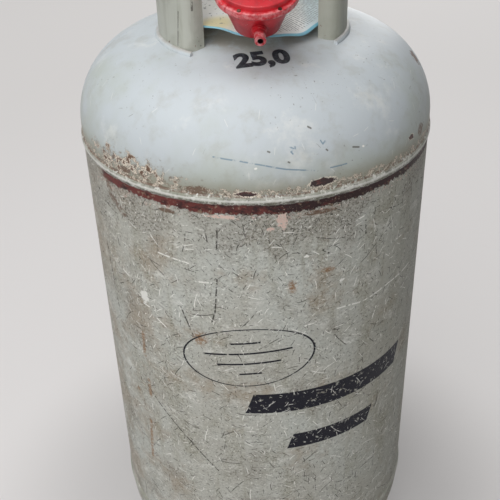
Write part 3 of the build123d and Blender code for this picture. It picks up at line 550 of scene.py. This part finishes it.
# grey enamel of the shell: dirt held in fine scratches and pits, thickest under the seam
def shellPaint():
    skin = Skin("shellPaint", sideMarks, greys)
    edge, both, coat, spots = skin.edge, skin.both, skin.coat, skin.spots
    skin.feed(skin.shader.inputs["Specular IOR Level"], sideMarks["shine"])
    stretch, apart = sideMarks["stretch"], sideMarks["apart"]
    arc, rise, flat = skin.unroll()
    skin.start(spots(flat, "cloud"), "side", "sideClean")
    smear = skin.grain(skin.vec("MULTIPLY", flat, stretch["smear"]), "smear")
    coat(edge(smear, "smear"), "olive", "smear")
    # browner towards the left, and darker olive towards the right, which is painted shade for the light
    # falling off there
    tan = skin.grain(skin.vec("ADD", flat, apart["tan"]), "tan")
    tan = skin.plus(tan, skin.span(arc, "left"), "left")
    coat(edge(tan, "tan"), "tan", "tan")
    coat(skin.span(arc, "right"), "olive", "right")
    for key, tone in (("streaky", "olive"), ("bloom", "pale")):
        skin.flecks(skin.vec("MULTIPLY", flat, stretch[key]), key, tone)
    # the dirt lies thickest under the seam, and thinner to the right
    smooth = skin.cover(edge(arc, "smooth"), "smooth")
    patches = skin.grain(flat, "patches")
    thick = skin.plus(patches, edge(rise, "nearSeam"), "nearSeam")
    dense = edge(skin.minus(thick, smooth), "dense")
    coat(dense, "drab", "dense")
    soft = skin.plus(sideMarks["softest"], edge(smear, "soft"), "soft")
    soft = skin.minus(soft, smooth)
    gritty = skin.grain(flat, "gritty")
    coat(both(edge(gritty, "paleGrain"), skin.either(skin.cover(dense, "densePale"), soft)), "pale")
    wander = skin.wobble(0.0, skin.grain(flat, "wander"), 1.0)
    hair = both(edge(skin.size(wander), "thread"), spots(flat, "hair"))
    soil = skin.either(edge(gritty, "soil"), hair)
    held = both(soil, skin.either(skin.cover(dense, "denseSoil"), soft))
    crumbs = both(spots(flat, "crumbs"), edge(smear, "crumbSmear"))
    held = skin.either(held, skin.cover(crumbs, "crumbs"))
    coat(held, "grime")
    # dark scratches and pits, then pale scratches and chips
    broken = spots(flat, "broken")
    dark = scratched(skin, flat, sideMarks["darkScratches"], spots(flat, "cluster"))
    dark = both(dark, spots(flat, "darkGaps"))
    long = skin.strokes(flat, sideMarks["darkest"], sideMarks["darkWidth"])
    dark = skin.either(dark, both(long, broken))
    coat(dark, "dark", "dark")
    coat(both(spots(flat, "pits"), skin.either(dense, sideMarks["pitsLeast"])), "dark")
    bright = spots(skin.vec("ADD", flat, apart["bright"]), "bright")
    pale = scratched(skin, flat, sideMarks["paleScratches"], bright)
    pale = both(skin.either(pale, spots(flat, "paleDots")), spots(flat, "paleGaps"))
    long = skin.strokes(flat, sideMarks["palest"], sideMarks["paleWidth"])
    pale = skin.either(pale, both(long, broken))
    fine = skin.grain(flat, "fine")
    for place in sideMarks["paleBlots"]:
        pale = skin.either(pale, edge(skin.blot(flat, *place, fine), "paleBlot"))
    coat(pale, "pale", "pale")
    # rust stains, and flakes down to the primer
    stain = skin.cover(skin.strokes(flat, sideMarks["runs"], sideMarks["runWidth"]), "runs")
    for place in sideMarks["orangeBlots"]:
        stain = skin.either(stain, edge(skin.blot(flat, *place, fine), "orangeBlot"))
    stain = both(stain, edge(gritty, "stainGrit"), edge(fine, "stainFine"))
    coat(stain, "orange", "stain")
    for place in sideMarks["pinkBlots"]:
        flaked = edge(skin.blot(flat, *place, fine), "pinkBlot")
        coat(both(flaked, edge(gritty, "pinkGrit")), "pink")
    wornOff = skin.either(pale, spots(flat, "wornOff"))
    coat(skin.without(plainMarks(skin, flat), skin.cover(wornOff, "wornOff")), "navy")
    worn = seamWear(skin, arc, rise, flat)
    skin.bump(skin.minus(skin.cover(patches, "height"), skin.either(held, dark, worn)))
    return skin.done()


# two plain bars and a thin oval with ruled lines, on the shell's front
plain = {
    # middle round and up, half length, half height
    "bars": ((0.0715, -0.24, 0.0945, 0.0135), (0.069, -0.297, 0.05, 0.0105)),
    "slant": 0.35, "barSoft": 0.0008,
    "oval": (-0.0225, -0.179, 0.0675, 0.036), "ovalTurn": 6.5, "ovalEdge": (0.0011, 0.00055),
    # level in the oval, half length
    "rules": ((0.019, 0.016), (0.006, 0.046), (-0.007, 0.033), (-0.02, 0.012)),
    "ruleEdge": (0.0013, 0.00078), "ruleSoft": 0.001,
}


def plainMarks(skin, flat):
    masks = []
    for x, y, half, tall in plain["bars"]:
        dx, dy = skin.split(skin.vec("SUBTRACT", flat, (x, y, 0.0)))[:2]
        lean = skin.size(skin.plus(dx, dy, -plain["slant"]))
        long = skin.remap(lean, half, half - plain["barSoft"])
        high = skin.remap(skin.size(dy), tall, tall - plain["barSoft"])
        masks.append(skin.both(long, high))
    x, y, wide, tall = plain["oval"]
    turn = math.radians(plain["ovalTurn"])
    away = skin.vec("SUBTRACT", flat, (x, y, 0.0))
    along = skin.dot(away, (math.cos(turn), math.sin(turn), 0.0))
    across = skin.dot(away, (-math.sin(turn), math.cos(turn), 0.0))
    ring = skin.join(skin.calc("DIVIDE", along, wide), skin.calc("DIVIDE", across, tall))
    ring = skin.size(skin.minus(skin.vec("LENGTH", ring), 1.0))
    masks.append(skin.remap(skin.both(ring, (wide + tall) / 2), *plain["ovalEdge"]))
    for level, half in plain["rules"]:
        off = skin.size(skin.minus(across, level))
        long = skin.remap(skin.size(along), half, half - plain["ruleSoft"])
        masks.append(skin.both(skin.remap(off, *plain["ruleEdge"]), long))
    return skin.either(*masks)


beadMarks = {
    "roughness": 0.5,
    "ripples": 900,  # radians to the metre
    "waver": 9, "rippleHeight": 0.25,
    "grain": {
        "cloud": (30, 4, 0.6), "dirt": (240, 4, 0.65), "rub": (110, 5, 0.7),
        "height": (160, 4, 0.6),
    },
    "edge": {"cloud": (0.35, 0.65), "dirt": (0.52, 0.7), "rub": (0.6, 0.68)},
    "cover": {"dirt": 0.65, "rub": 0.6},
    "bump": (0.0006, 0.5),
}


# paint over weld beads, with the ripples of the weld under it
def beadPaint(name, upright=False):
    skin = Skin(name, beadMarks, greys)
    arc, rise, flat = skin.unroll()
    cloud = skin.grain(flat, "cloud")
    skin.start(skin.edge(cloud, "cloud"), "side", "collarDirtAndShade")
    skin.flecks(flat, "dirt", "olive")
    skin.flecks(flat, "rub", "pale")
    seamWear(skin, arc, rise, flat)
    ripple = skin.both(rise if upright else arc, beadMarks["ripples"])
    ripple = skin.calc("SINE", skin.plus(ripple, cloud, beadMarks["waver"]))
    skin.bump(skin.plus(skin.grain(skin.place, "height"), ripple, beadMarks["rippleHeight"]))
    return skin.done()


# the collar and the foot ring, with dark creases down the collar's left end, and painted shade towards the
# right
sheetMarks = {
    "roughness": 0.5,
    "collarFoot": vessel["apex"] - 0.0071,
    "creases": (
        ((-0.1528, 0.1318), (-0.1556, 0.1196), (-0.1603, 0.1002)),
        ((-0.1305, 0.142), (-0.1305, 0.134)),
    ),
    "creaseWidth": 0.0016, "rustShift": 0.05,
    "stretch": {"streaky": (1, 1, 0.12), "lines": (1, 1, 0.03)},
    "grain": {
        "cloud": (14, 4, 0.6), "streaky": (90, 4, 0.65), "lines": (260, 3, 0.6),
        "pits": (420, 2, 0.5), "crease": (150, 3, 0.6), "rust": (140, 5, 0.7),
    },
    "edge": {
        "cloud": (0.4, 0.65), "streaky": (0.5, 0.72), "lines": (0.69, 0.73), "pits": (0.68, 0.71),
        "pitCloud": (0.4, 0.6), "crease": (0.34, 0.5), "right": (0, 0.075),
        "nearFoot": (0.02, 0.002), "rust": (0.69, 0.73),
    },
    "cover": {
        "streaky": 0.55, "lines": 0.6, "pits": 0.8, "crease": 0.75, "right": 0.5, "rust": 0.85,
        "height": 0.5,
    },
    "bump": (0.0005, 0.6),
}


# grey enamel of the collar and foot ring: upright streaks, dark wear lines, rust at the foot, and painted
# shade towards the right
def sheetPaint(name, foot, creases=()):
    skin = Skin(name, sheetMarks, greys)
    cloud = skin.grain(skin.place, "cloud")
    skin.start(skin.edge(cloud, "cloud"), "collar", "collarDirtAndShade")
    for key, tone in (("streaky", "collarDirtAndShade"), ("lines", "dark")):
        skin.flecks(skin.vec("MULTIPLY", skin.place, sheetMarks["stretch"][key]), key, tone)
    pits = skin.both(skin.spots(skin.place, "pits"), skin.edge(cloud, "pitCloud"))
    skin.coat(pits, "dark", "pits")
    if creases:
        flat = skin.unroll()[2]
        crease = skin.strokes(flat, creases, sheetMarks["creaseWidth"])
        skin.coat(skin.both(crease, skin.spots(flat, "crease")), "dark", "crease")
    x, _, z = skin.split(skin.place)
    # darker towards the right: painted shade
    skin.coat(skin.edge(x, "right"), "collarDirtAndShade", "right")
    near = skin.edge(skin.minus(z, foot), "nearFoot")
    rust = skin.plus(skin.grain(skin.place, "rust"), near, sheetMarks["rustShift"])
    rust = skin.edge(rust, "rust")
    skin.coat(rust, "maroon", "rust")
    skin.bump(skin.minus(skin.cover(cloud, "height"), skin.either(pits, rust)))
    return skin.done()


# the worn pink is rubbed wear and a painted highlight together
reds = paintColours({
    "enamel": (208, 38, 50), "deep": (160, 27, 38), "scuff": (226, 126, 130), "dust": (196, 150, 140),
    "worn": (236, 160, 162), "boreShade": (38, 12, 14),
})

# the regulator's leaning axis and its nozzle (m), with the wear on them and the painted shade and highlight
leaning = {
    "middle": (0.0, -0.091, 0.766),
    "way": (0.0, -0.267238, 0.96363),
    "nozzle": (0.0, -0.1224, 0.7376),
    "roughnesses": {"redEnamel": 0.36, "redCap": 0.42},
    "grain": {
        "cloud": (60, 4, 0.6), "rubbed": (230, 4, 0.65), "scuff": (240, 5, 0.7),
        "patchy": (45, 3, 0.6), "dust": (700, 2, 0.5), "height": (320, 3, 0.6),
    },
    "edge": {
        "cloud": (0.4, 0.7), "coneShade": (-0.008, -0.026), "rim": (0.032, 0.035), "rubbed": (0.36, 0.64),
        "scuff": (0.56, 0.7), "patchy": (0.48, 0.66), "dust": (0.7, 0.73), "boreShade": (0.0027, 0.0025),
    },
    "cover": {"coneShade": 0.75, "rim": 0.65, "scuff": 0.55, "dust": 0.6},
    "bump": (0.0002, 0.5),
}


# red enamel of the regulator, dulled and scuffed, with painted shade low on the cone, a painted highlight with
# the wear round the rim, and painted shade in the nozzle's bore
def redEnamel(name):
    skin = Skin(name, {**leaning, "roughness": leaning["roughnesses"][name]}, reds)
    skin.start(skin.spots(skin.place, "cloud"), "enamel", "deep")
    away = skin.vec("SUBTRACT", skin.place, leaning["middle"])
    along = skin.dot(away, leaning["way"])
    out = skin.minus(skin.dot(away, away), skin.both(along, along))
    out = skin.calc("SQRT", skin.calc("MAXIMUM", out, 0.0))
    # darker towards the bottom of the cone: painted shade
    skin.coat(skin.edge(along, "coneShade"), "deep", "coneShade")
    # pink round the rim and nozzle: rubbed wear and a painted highlight
    skin.coat(skin.both(skin.edge(out, "rim"), skin.spots(skin.place, "rubbed")), "worn", "rim")
    scuff = [skin.spots(skin.place, key) for key in ("scuff", "patchy")]
    skin.coat(skin.both(*scuff), "scuff", "scuff")
    skin.flecks(skin.place, "dust", "dust")
    # painted shade, dark inside the nozzle's bore
    away = skin.vec("SUBTRACT", skin.place, leaning["nozzle"])
    x = skin.split(away)[0]
    off = skin.vec("LENGTH", skin.join(x, skin.dot(away, leaning["way"])))
    skin.coat(skin.edge(off, "boreShade"), "boreShade")
    skin.bump(skin.grain(skin.place, "height"))
    return skin.done()


# tone, a second tone in the tarnish, roughness, and scale of the turning or casting marks
metals = {
    "turnedBrass": ((196, 160, 92), (150, 112, 62), 0.38, 500),
    "castAlloy": ((176, 176, 176), (132, 132, 130), 0.5, 300),
    "platedSteel": ((168, 164, 154), (112, 92, 76), 0.42, 400),
    "rustySteel": ((124, 104, 90), (70, 50, 42), 0.6, 400),
}


def bareMetal(name):
    tone, tarnish, roughness, scale = metals[name]
    marks = {
        "roughness": roughness,
        "grain": {"cloud": (70, 4, 0.6), "height": (scale, 4, 0.6)},
        "edge": {"cloud": (0.42, 0.66)},
        "bump": (0.0002, 0.5),
    }
    skin = Skin(name, marks, (paintColour(*tone), paintColour(*tarnish)), metallic=1.0)
    skin.start(skin.spots(skin.place, "cloud"), 0, 1)
    skin.bump(skin.grain(skin.place, "height"))
    return skin.done()


rubber = {
    "roughness": 0.75,
    "tones": (paintColour(30, 30, 30), paintColour(52, 50, 48)),
    "grain": {"cloud": (120, 3, 0.6)},
    "bump": (0.0002, 0.4),
}


def dullRubber():
    skin = Skin("dullRubber", rubber, rubber["tones"])
    cloud = skin.grain(skin.place, "cloud")
    skin.start(cloud, 0, 1)
    skin.bump(cloud)
    return skin.done()


def dress(material, *names):
    for name in names:
        slots = cadNodes[name].data.materials
        slots.clear()
        slots.append(material)


dress(headPaint(), "upper_head", "collar_weld")
dress(shellPaint(), "shell", "lower_head")
dress(beadPaint("girthBeadPaint"), "upper_girth_weld", "lower_girth_weld", "foot_ring_weld")
dress(beadPaint("seamBeadPaint", upright=True), "shell_seam_weld")
collarPaint = sheetPaint("collarPaint", sheetMarks["collarFoot"], sheetMarks["creases"])
dress(collarPaint, "collar", "valve_boss", "valve_boss_weld")
dress(sheetPaint("footPaint", 0.0), "foot_ring")
dress(redEnamel("redEnamel"), "regulator_housing", "regulator_cover", "hose_nozzle")
dress(redEnamel("redCap"), "adjuster_cap")
brass = bareMetal("turnedBrass")
dress(brass, "valve_body", "gland_nut", "relief_cap", "relief_poppet", "valve_plug", "spindle")
dress(brass, "union_nut", "inlet_stem", "orifice")
dress(bareMetal("castAlloy"), "handwheel", "adjuster", "seat_holder")
steel = bareMetal("platedSteel")
dress(steel, "wheel_nut", "relief_spring", "control_spring", "lever", "lever_pin", "diaphragm_plate")
dress(bareMetal("rustySteel"), "rim_rivets")
dress(dullRubber(), "gland_seal", "valve_pad", "outlet_seal", "diaphragm", "seat_pad")
print("CAD nodes dressed")


def addObject(name, data):
    thing = bpy.data.objects.new(name, data)
    bpy.context.scene.collection.objects.link(thing)
    return thing


def addMesh(name, bm, material):
    mesh = bpy.data.meshes.new(name)
    bm.to_mesh(mesh)
    bm.free()
    mesh.materials.append(material)
    return addObject(name, mesh)


def newPiece(name, bm, material, body):
    piece = addMesh(name, bm, material)
    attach(piece, body)
    return piece


def faceUp(bm):
    bmesh.ops.recalc_face_normals(bm, faces=bm.faces[:])
    if sum(face.normal.z for face in bm.faces) < 0:
        bmesh.ops.reverse_faces(bm, faces=bm.faces[:])


def thicken(piece, thickness):
    solid = piece.modifiers.new("thickness", "SOLIDIFY")
    solid.thickness = thickness
    solid.offset = 1.0


# the printed card: a thin ring that sags and waves round its edge (m, degrees round from the front)
card = {
    "hole": 0.023, "flat": 0.029, "edge": 0.073,
    "top": vessel["apex"] + 0.0182,
    "droop": 0.0048, "droopPower": 1.5,
    "frontDroop": 0.0065, "frontStart": (-25, 5), "frontEnd": (55, 100),
    "curlDroop": 0.0042, "curlAt": 40, "curlWidth": 14,
    "wave": 0.0008, "wavePower": 2,
    "waves": ((1.0, 9, 0.6), (0.6, 14, 1.9)),  # share, number round the card, start
    "thickness": 0.0004, "rings": 14, "steps": 120,
}

paper = {
    "roughness": 0.62,
    "tones": paintColours({
        "white": (248, 249, 247), "shade": (206, 214, 214), "cyan": (122, 190, 212),
        "yellow": (226, 218, 172), "ink": (92, 96, 104),
    }),
    "warm": ((-0.036, -0.052), 0.026, 0.022),
    "coolShift": 0.012, "rowWay": (0.5, 0.86, 0),
    "rowPitch": 2300,  # radians to the metre
    "dashStretch": (1, 3, 1),
    "grain": {"tint": (40, 3, 0.6), "dashes": (230, 2, 0.5), "bars": (210, 2, 0.5)},
    "edge": {
        "warm": (1, 0.3), "cool": (0.046, 0.06), "rows": (0.35, 0.75), "dashes": (0.4, 0.46),
        "dashesFrom": (0.016, 0.02), "dashesOut": (0.068, 0.066), "bars": (0.62, 0.66),
        "barsFrom": (-0.024, -0.03), "barsOut": (0.066, 0.062), "rim": (0.0698, 0.0706),
    },
    "cover": {"tint": 0.3, "warm": 0.9, "cool": 0.3, "dashes": 0.75, "bars": 0.6, "rim": 0.9},
    "bump": (0.0003, 0.3),
}


def printedPaper():
    skin = Skin("printedPaper", paper, paper["tones"])
    x, y = skin.split(skin.place)[:2]
    flat = skin.join(x, y)
    away = skin.vec("LENGTH", flat)
    tint = skin.grain(flat, "tint")
    skin.start(skin.cover(tint, "tint"), "white", "shade")
    skin.coat(skin.edge(skin.spread(flat, *paper["warm"]), "warm"), "yellow", "warm")
    skin.coat(skin.edge(skin.plus(x, tint, paper["coolShift"]), "cool"), "cyan", "cool")
    # slanting rows of short dashes on the right-hand part, and loose bars on the left
    row = skin.both(skin.dot(flat, paper["rowWay"]), paper["rowPitch"])
    rows = skin.edge(skin.calc("SINE", row), "rows")
    stretched = skin.vec("MULTIPLY", flat, paper["dashStretch"])
    for key, place, mask in (("dashes", stretched, rows), ("bars", flat, 1.0)):
        region = skin.both(skin.edge(x, key + "From"), skin.edge(away, key + "Out"))
        skin.coat(skin.both(skin.spots(place, key), region, mask), "ink", key)
    skin.coat(skin.edge(away, "rim"), "cyan", "rim")
    skin.bump(tint)
    return skin.done()


# smooth step from 0 at low to 1 at high
def ease(value, low, high):
    share = min(max((value - low) / (high - low), 0.0), 1.0)
    return share * share * (3 - 2 * share)


def makeCard():
    bm = bmesh.new()
    chain = []
    for i in range(card["rings"] + 1):
        share = i / card["rings"]
        chain.append(bm.verts.new((card["hole"] + share * (card["edge"] - card["hole"]), 0.0, card["top"])))
    edges = [bm.edges.new(pair) for pair in zip(chain, chain[1:])]
    around = {"cent": (0, 0, 0), "axis": (0, 0, 1), "angle": math.tau, "steps": card["steps"]}
    bmesh.ops.spin(bm, geom=chain + edges, use_merge=True, **around)
    # the right-hand front hangs lowest
    for vert in bm.verts:
        away = math.hypot(vert.co.x, vert.co.y)
        turn = math.degrees(math.atan2(vert.co.x, -vert.co.y))
        share = max(0.0, (away - card["flat"]) / (card["edge"] - card["flat"]))
        front = ease(turn, *card["frontStart"]) * (1 - ease(turn, *card["frontEnd"]))
        curl = math.exp(-(((turn - card["curlAt"]) / card["curlWidth"]) ** 2))
        drop = card["droop"] + card["frontDroop"] * front + card["curlDroop"] * curl
        wave = sum(part * math.sin(math.radians(count * turn) + start) for part, count, start in card["waves"])
        vert.co.z += -drop * share ** card["droopPower"] + card["wave"] * share ** card["wavePower"] * wave
    faceUp(bm)
    piece = newPiece("infoCard", bm, printedPaper(), "vessel")
    piece.data.shade_smooth()
    thicken(piece, card["thickness"])
    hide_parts("info_card")


makeCard()
print("card made")

# plain stencilled weight on the head (m, degrees)
stencil = {
    "text": "25,0",
    "height": 0.0235,
    "figureShare": 0.72,  # a figure's height as a share of the font's size
    "width": 0.0505,
    "heavy": 0.0016,
    "around": 2.1, "out": 0.0888, "tilt": 4.5, "proud": 0.0002,
    "resolution": 6, "longestEdge": 0.006, "merge": 1e-6,
    "roughness": 0.55,
    "tones": (paintColour(34, 36, 44), paintColour(88, 92, 98)),
    "grain": {"cloud": (260, 4, 0.7)},
    "edge": {"cloud": (0.45, 0.75)},
}


def stencilPaint():
    skin = Skin("stencilPaint", stencil, stencil["tones"])
    skin.start(skin.spots(skin.place, "cloud"), 0, 1)
    return skin.done()


def makeStencil():
    curve = bpy.data.curves.new("stencil", "FONT")
    curve.body = stencil["text"]
    curve.size = stencil["height"] / stencil["figureShare"]
    curve.offset = stencil["heavy"]
    curve.align_x = curve.align_y = "CENTER"
    curve.resolution_u = stencil["resolution"]
    text = addObject("stencil", curve)
    flatMesh = bpy.data.meshes.new_from_object(text)
    bpy.data.objects.remove(text)
    bm = bmesh.new()
    bm.from_mesh(flatMesh)
    bmesh.ops.remove_doubles(bm, verts=bm.verts[:], dist=stencil["merge"])
    for _ in range(2):
        long = [edge for edge in bm.edges if edge.calc_length() > stencil["longestEdge"]]
        bmesh.ops.subdivide_edges(bm, edges=long, cuts=1)
        bmesh.ops.triangulate(bm, faces=bm.faces[:])
    wide = max(vert.co.x for vert in bm.verts) - min(vert.co.x for vert in bm.verts)
    bmesh.ops.scale(bm, vec=(stencil["width"] / wide, 1.0, 1.0), verts=bm.verts[:])
    turn = Matrix.Rotation(math.radians(stencil["around"] + stencil["tilt"]), 3, "Z")
    bmesh.ops.rotate(bm, cent=(0, 0, 0), matrix=turn, verts=bm.verts[:])
    around = math.radians(stencil["around"])
    spot = Vector((math.sin(around), -math.cos(around), 0.0)) * stencil["out"]
    bmesh.ops.translate(bm, vec=spot, verts=bm.verts[:])
    # laid on the crown, which is part of a sphere
    reach = vessel["crown"] + stencil["proud"]
    for vert in bm.verts:
        away = vert.co.x**2 + vert.co.y**2
        vert.co.z = vessel["apex"] - vessel["crown"] + math.sqrt(reach**2 - away)
    faceUp(bm)
    piece = newPiece("stencilNumber", bm, stencilPaint(), "vessel")
    thicken(piece, stencil["proud"])


makeStencil()
print("stencil made")

# the two coil springs, each made a piece of its own in place of its CAD node
springs = {
    "merge": 1e-6,
    # CAD node, piece, body, joint, way towards the fixed end, travel
    "coils": (
        ("relief_spring", "reliefSpring", "vessel", "relief_lift", (0.0, 1.0, 0.0), 0.002),
        ("control_spring", "controlSpring", "regulator", "diaphragm_move", leaning["way"], 0.0015),
    ),
}


def makeSpring(node, name, body, joint, way, travel):
    line = Vector(way)
    bm = bmesh.new()
    bm.from_mesh(cadNodes[node].data)
    bmesh.ops.remove_doubles(bm, verts=bm.verts[:], dist=springs["merge"])
    reach = [vert.co.dot(line) for vert in bm.verts]
    piece = newPiece(name, bm, steel, body)
    piece.data.shade_smooth()
    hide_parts(node)
    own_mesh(piece)
    tuple(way)


for coil in springs["coils"]:
    makeSpring(*coil)
print("springs made")

# floor, light and camera
studio = {
    "floorSize": 16.0, "roughness": 0.9,
    "floorPale": (0.50, 0.486, 0.482, 1.0),
    "floorFar": (0.08, 0.078, 0.077, 1.0),
    "floorDeep": (0.22, 0.215, 0.21, 1.0),
    "floorGlow": (0.60, 0.584, 0.576, 1.0),
    # metres from the object's axis, and how much more the floor glows there; its least glow next to the object
    # is a painted shadow round the foot
    "edge": {"paintedShadowEdge": (0.22, 0.46), "far": (0.7, 1.8)},
    "glowInPaintedShadow": 0.18, "glowPastPaintedShadow": 0.28, "glowFar": 0.5,
    "world": (0.97, 0.98, 1.0, 1.0), "worldLevel": 0.09, "worldShine": 0.62,
    # place, aim, size, level
    "lamps": {
        "keyLamp": ((-0.95, -2.95, 1.35), (0.0, 0.0, 0.5), 2.0, 41.0),
        "topLamp": ((-1.0, -0.8, 3.6), (0.0, 0.0, 0.72), 4.2, 102.0),
        "backLamp": ((0.72, 3.0, 1.3), (0.0, 0.0, 0.45), 2.0, 37.0),
    },
}


def makeFloor():
    bm = bmesh.new()
    bmesh.ops.create_grid(bm, x_segments=1, y_segments=1, size=studio["floorSize"] / 2)
    skin = Skin("studioFloor", studio, studio)
    path = skin.node("LightPath").outputs
    seen = skin.either(path["Is Camera Ray"], path["Is Glossy Ray"], path["Is Transmission Ray"])
    # the floor glows more away from the object, and takes the lamps less, so that it stays even; its dimmer
    # glow next to the object is a painted shadow round the foot
    away = skin.vec("LENGTH", skin.place)
    far = skin.edge(away, "far")
    tone = skin.mix(far, studio["floorPale"], studio["floorFar"])
    glow = skin.plus(studio["glowInPaintedShadow"], skin.edge(away, "paintedShadowEdge"), studio["glowPastPaintedShadow"])
    glow = skin.plus(glow, far, studio["glowFar"])
    skin.feed(skin.shader.inputs["Emission Color"], studio["floorGlow"])
    skin.feed(skin.shader.inputs["Emission Strength"], skin.both(seen, glow))
    skin.feed(skin.shader.inputs["Specular IOR Level"], 0.0)
    skin.base = skin.mix(seen, studio["floorDeep"], tone)
    floor = addMesh("studioFloor", bm, skin.done())


def makeLight():
    world = bpy.data.worlds.new("studio")
    world.use_nodes = True
    nodes, links = world.node_tree.nodes, world.node_tree.links
    sky = nodes["Background"]
    sky.inputs["Color"].default_value = studio["world"]
    path = nodes.new("ShaderNodeLightPath")
    level = nodes.new("ShaderNodeMapRange")
    level.inputs["To Min"].default_value = studio["worldShine"]
    level.inputs["To Max"].default_value = studio["worldLevel"]
    links.new(path.outputs["Is Diffuse Ray"], level.inputs["Value"])
    links.new(level.outputs["Result"], sky.inputs["Strength"])
    bpy.context.scene.world = world
    for name, (place, aim, size, power) in studio["lamps"].items():
        lamp = bpy.data.lights.new(name, "AREA")
        lamp.shape = "DISK"
        lamp.size = size
        lamp.energy = power
        light = addObject(name, lamp)
        light.location = place
        light.rotation_euler = (Vector(aim) - Vector(place)).to_track_quat("-Z", "Y").to_euler()
        light.visible_camera = False


# metres, degrees, and millimetres for the lens
viewpoint = {
    "distance": 0.8167, "height": 0.983332,
    "turn": -2.8, "pitch": 33.45, "yaw": -0.71, "roll": 1.95,
    "lens": 61.13, "sensor": 36.0,
}


def makeCamera():
    pitch, yaw, roll, turn = [math.radians(viewpoint[key]) for key in ("pitch", "yaw", "roll", "turn")]
    ahead = Vector((math.sin(yaw) * math.cos(pitch), math.cos(yaw) * math.cos(pitch), -math.sin(pitch)))
    side = ahead.cross(Vector((0, 0, 1))).normalized()
    down = ahead.cross(side)
    right = math.cos(roll) * side + math.sin(roll) * down
    below = -math.sin(roll) * side + math.cos(roll) * down
    place = Matrix((right, -below, -ahead)).transposed().to_4x4()
    place.translation = Vector((0, -viewpoint["distance"], viewpoint["height"]))
    lens = bpy.data.cameras.new("camera")
    lens.lens = viewpoint["lens"]
    lens.sensor_width = viewpoint["sensor"]
    camera = addObject("camera", lens)
    camera.matrix_world = Matrix.Rotation(turn, 4, "Z") @ place
    bpy.context.scene.camera = camera


makeFloor()
makeLight()
makeCamera()
bpy.context.scene.view_settings.view_transform = "Standard"
print("studio and camera set")
